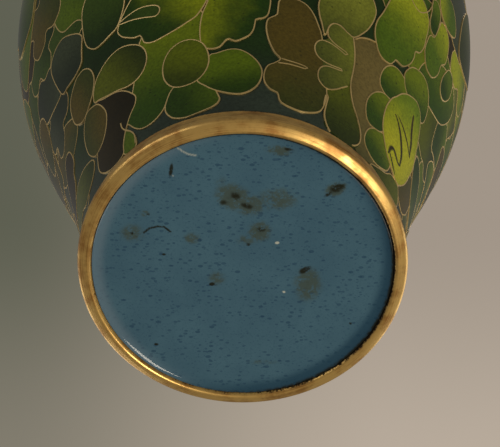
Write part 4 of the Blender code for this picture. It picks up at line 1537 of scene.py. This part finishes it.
OVERHEAD_LIGHT = Vector((0, -0.05, 1.6))
SIDE_LIGHTS = {"left": (-1.2, -1.0, 0.12), "right_back": (1.2, 0.9, 0.4), "left_back": (-1.0, 1.2, 0.4)}
LIGHT_AIM = Vector((0, 0, 0.06))
LIGHT_SIZES = {"window": 0.4, "overhead": 0.6, "side": 1.2}


def stage_sheet(name, middle, facing, size, shade):
    """A flat sheet seen only by the camera and only from its front: it casts no light or shade."""
    turn = facing.to_track_quat("Z", "Y").to_matrix().to_4x4()
    half = size / 2
    corners = [(-half, -half, 0), (half, -half, 0), (half, half, 0), (-half, half, 0)]
    mesh = bpy.data.meshes.new(name)
    mesh.from_pydata([middle + turn @ Vector(corner) for corner in corners], [], [(0, 1, 2, 3)])
    finish = bpy.data.materials.new(name)
    finish.use_nodes = True
    tree = finish.node_tree
    tree.nodes.remove(tree.nodes["Principled BSDF"])
    clear = add_node(tree, "ShaderNodeBsdfTransparent").outputs[0]
    back = add_node(tree, "ShaderNodeNewGeometry").outputs["Backfacing"]
    both = add_node(tree, "ShaderNodeMixShader", {0: back, 1: shade(tree), 2: clear})
    tree.links.new(both.outputs[0], tree.nodes["Material Output"].inputs["Surface"])
    mesh.materials.append(finish)
    sheet = bpy.data.objects.new(name, mesh)
    bpy.context.scene.collection.objects.link(sheet)
    sheet.visible_diffuse = False
    sheet.visible_glossy = False
    sheet.visible_transmission = False
    sheet.visible_shadow = False


def add_light(name, place, aim, power, tint):
    """A square soft light that the camera doesn't see."""
    light = bpy.data.lights.new(name, "AREA")
    light.size = LIGHT_SIZES.get(name, LIGHT_SIZES["side"])
    light.energy = power
    light.color = tint
    lamp = bpy.data.objects.new(name, light)
    lamp.location = place
    lamp.rotation_euler = (aim - place).to_track_quat("-Z", "Y").to_euler()
    lamp.visible_camera = False
    bpy.context.scene.collection.objects.link(lamp)


class VASE_OT_stage(bpy.types.Operator):
    """Set the floor, backdrop, lights and camera"""

    bl_idname = "vase.stage"
    bl_label = "Stage"

    def execute(self, context):
        _, _, studio = settings()
        camera_data = bpy.data.cameras.new("camera")
        camera_data.lens = LENS
        camera = bpy.data.objects.new("camera", camera_data)
        camera.location = CAMERA_PLACE
        onwards = CAMERA_AIM - CAMERA_PLACE
        camera.rotation_euler = onwards.to_track_quat("-Z", "Y").to_euler()
        context.scene.collection.objects.link(camera)
        context.scene.camera = camera

        away = onwards.normalized()
        stage_sheet("floor", Vector((0, 0, 0)), Vector((0, 0, 1)), FLOOR_SIZE, self.floor_shade)
        backdrop_middle = CAMERA_PLACE + away * BACKDROP_DISTANCE
        stage_sheet("backdrop", backdrop_middle, -away, BACKDROP_SIZE, self.backdrop_shade)
        self.room(context, studio)
        window = WINDOW_LIGHT.normalized() * WINDOW_DISTANCE
        add_light("window", window, Vector((0, 0, 0)), studio.key_power, WARM)
        add_light("overhead", OVERHEAD_LIGHT, LIGHT_AIM, studio.sky_power, PLAIN)
        for name, place in SIDE_LIGHTS.items():
            add_light(name, Vector(place), LIGHT_AIM, studio.side_power, PLAIN)
        return {"FINISHED"}

    def floor_shade(self, tree):
        """A plain pale floor."""
        _, _, studio = settings()
        return add_node(tree, "ShaderNodeBsdfDiffuse", {"Color": (*studio.floor, 1)}).outputs[0]

    def backdrop_shade(self, tree):
        """A softly clouded sheet that glows: painted shade to the left, painted light to the right, and
        darker towards the top.
        """
        place = place_on_object(tree)
        split = add_node(tree, "ShaderNodeSeparateXYZ", {0: place}).outputs
        side = span(tree, split[0], *BACKDROP_SIDES)
        low = span(tree, split[2], *BACKDROP_RISE)
        shaded = mixed(tree, low, HIGH_SHADED, LOW_SHADED)
        lit = mixed(tree, low, HIGH_LIT, LOW_LIT)
        cloud = maths(tree, "MULTIPLY", noise(tree, place, 5, 1), 0.2)
        tone = mixed(tree, cloud, mixed(tree, side, shaded, lit), BACKDROP_CLOUD)
        return add_node(tree, "ShaderNodeEmission", {"Color": tone, "Strength": 1.0}).outputs[0]

    def room(self, context, studio):
        """Even light from all round, dimmer where a surface mirrors it, and plain view colours."""
        world = bpy.data.worlds.new("room")
        world.use_nodes = True
        tree = world.node_tree
        background = tree.nodes["Background"]
        background.inputs["Color"].default_value = ROOM_COLOUR
        mirrored = add_node(tree, "ShaderNodeLightPath").outputs["Is Glossy Ray"]
        strength = span(tree, mirrored, 0.0, 1.0, studio.room_light, studio.room_mirrored)
        tree.links.new(strength, background.inputs["Strength"])
        context.scene.world = world
        context.scene.view_settings.view_transform = "Standard"


class VASE_PT_panel(bpy.types.Panel):
    """The vase's operators and settings"""

    bl_idname = "VASE_PT_panel"
    bl_label = "Cloisonne Vase"
    bl_space_type = "VIEW_3D"
    bl_region_type = "UI"
    bl_category = "Vase"

    def draw(self, context):
        for operator in OPERATORS:
            self.layout.operator(operator.bl_idname)
        for group in settings():
            box = self.layout.box()
            for name in group.__annotations__:
                box.prop(group, name)


OPERATORS = (
    VASE_OT_finishes,
    VASE_OT_stage,
    VASE_OT_copper,
    VASE_OT_lining,
    VASE_OT_ground,
    VASE_OT_lower_leaves,
    VASE_OT_front_leaves,
    VASE_OT_upper_leaves,
    VASE_OT_foot_ring,
    VASE_OT_underside,
    VASE_OT_mouth_bead,
)
GROUPS = {"vase_foliage": VaseFoliage, "vase_colours": VaseColours, "vase_studio": VaseStudio}


def register():
    """Make the settings, operators and panel known to Blender."""
    for group in (*GROUPS.values(), *OPERATORS, VASE_PT_panel):
        bpy.utils.register_class(group)
    for name, group in GROUPS.items():
        setattr(bpy.types.Scene, name, bpy.props.PointerProperty(type=group))


def unregister():
    """Take the settings, operators and panel away again."""
    for name in GROUPS:
        delattr(bpy.types.Scene, name)
    for group in (VASE_PT_panel, *OPERATORS[::-1], *GROUPS.values()):
        bpy.utils.unregister_class(group)


def main():
    """Build every piece."""
    register()
    for operator in OPERATORS:
        family, name = operator.bl_idname.split(".")
        getattr(getattr(bpy.ops, family), name)()


if __name__ == "__main__":
    main()
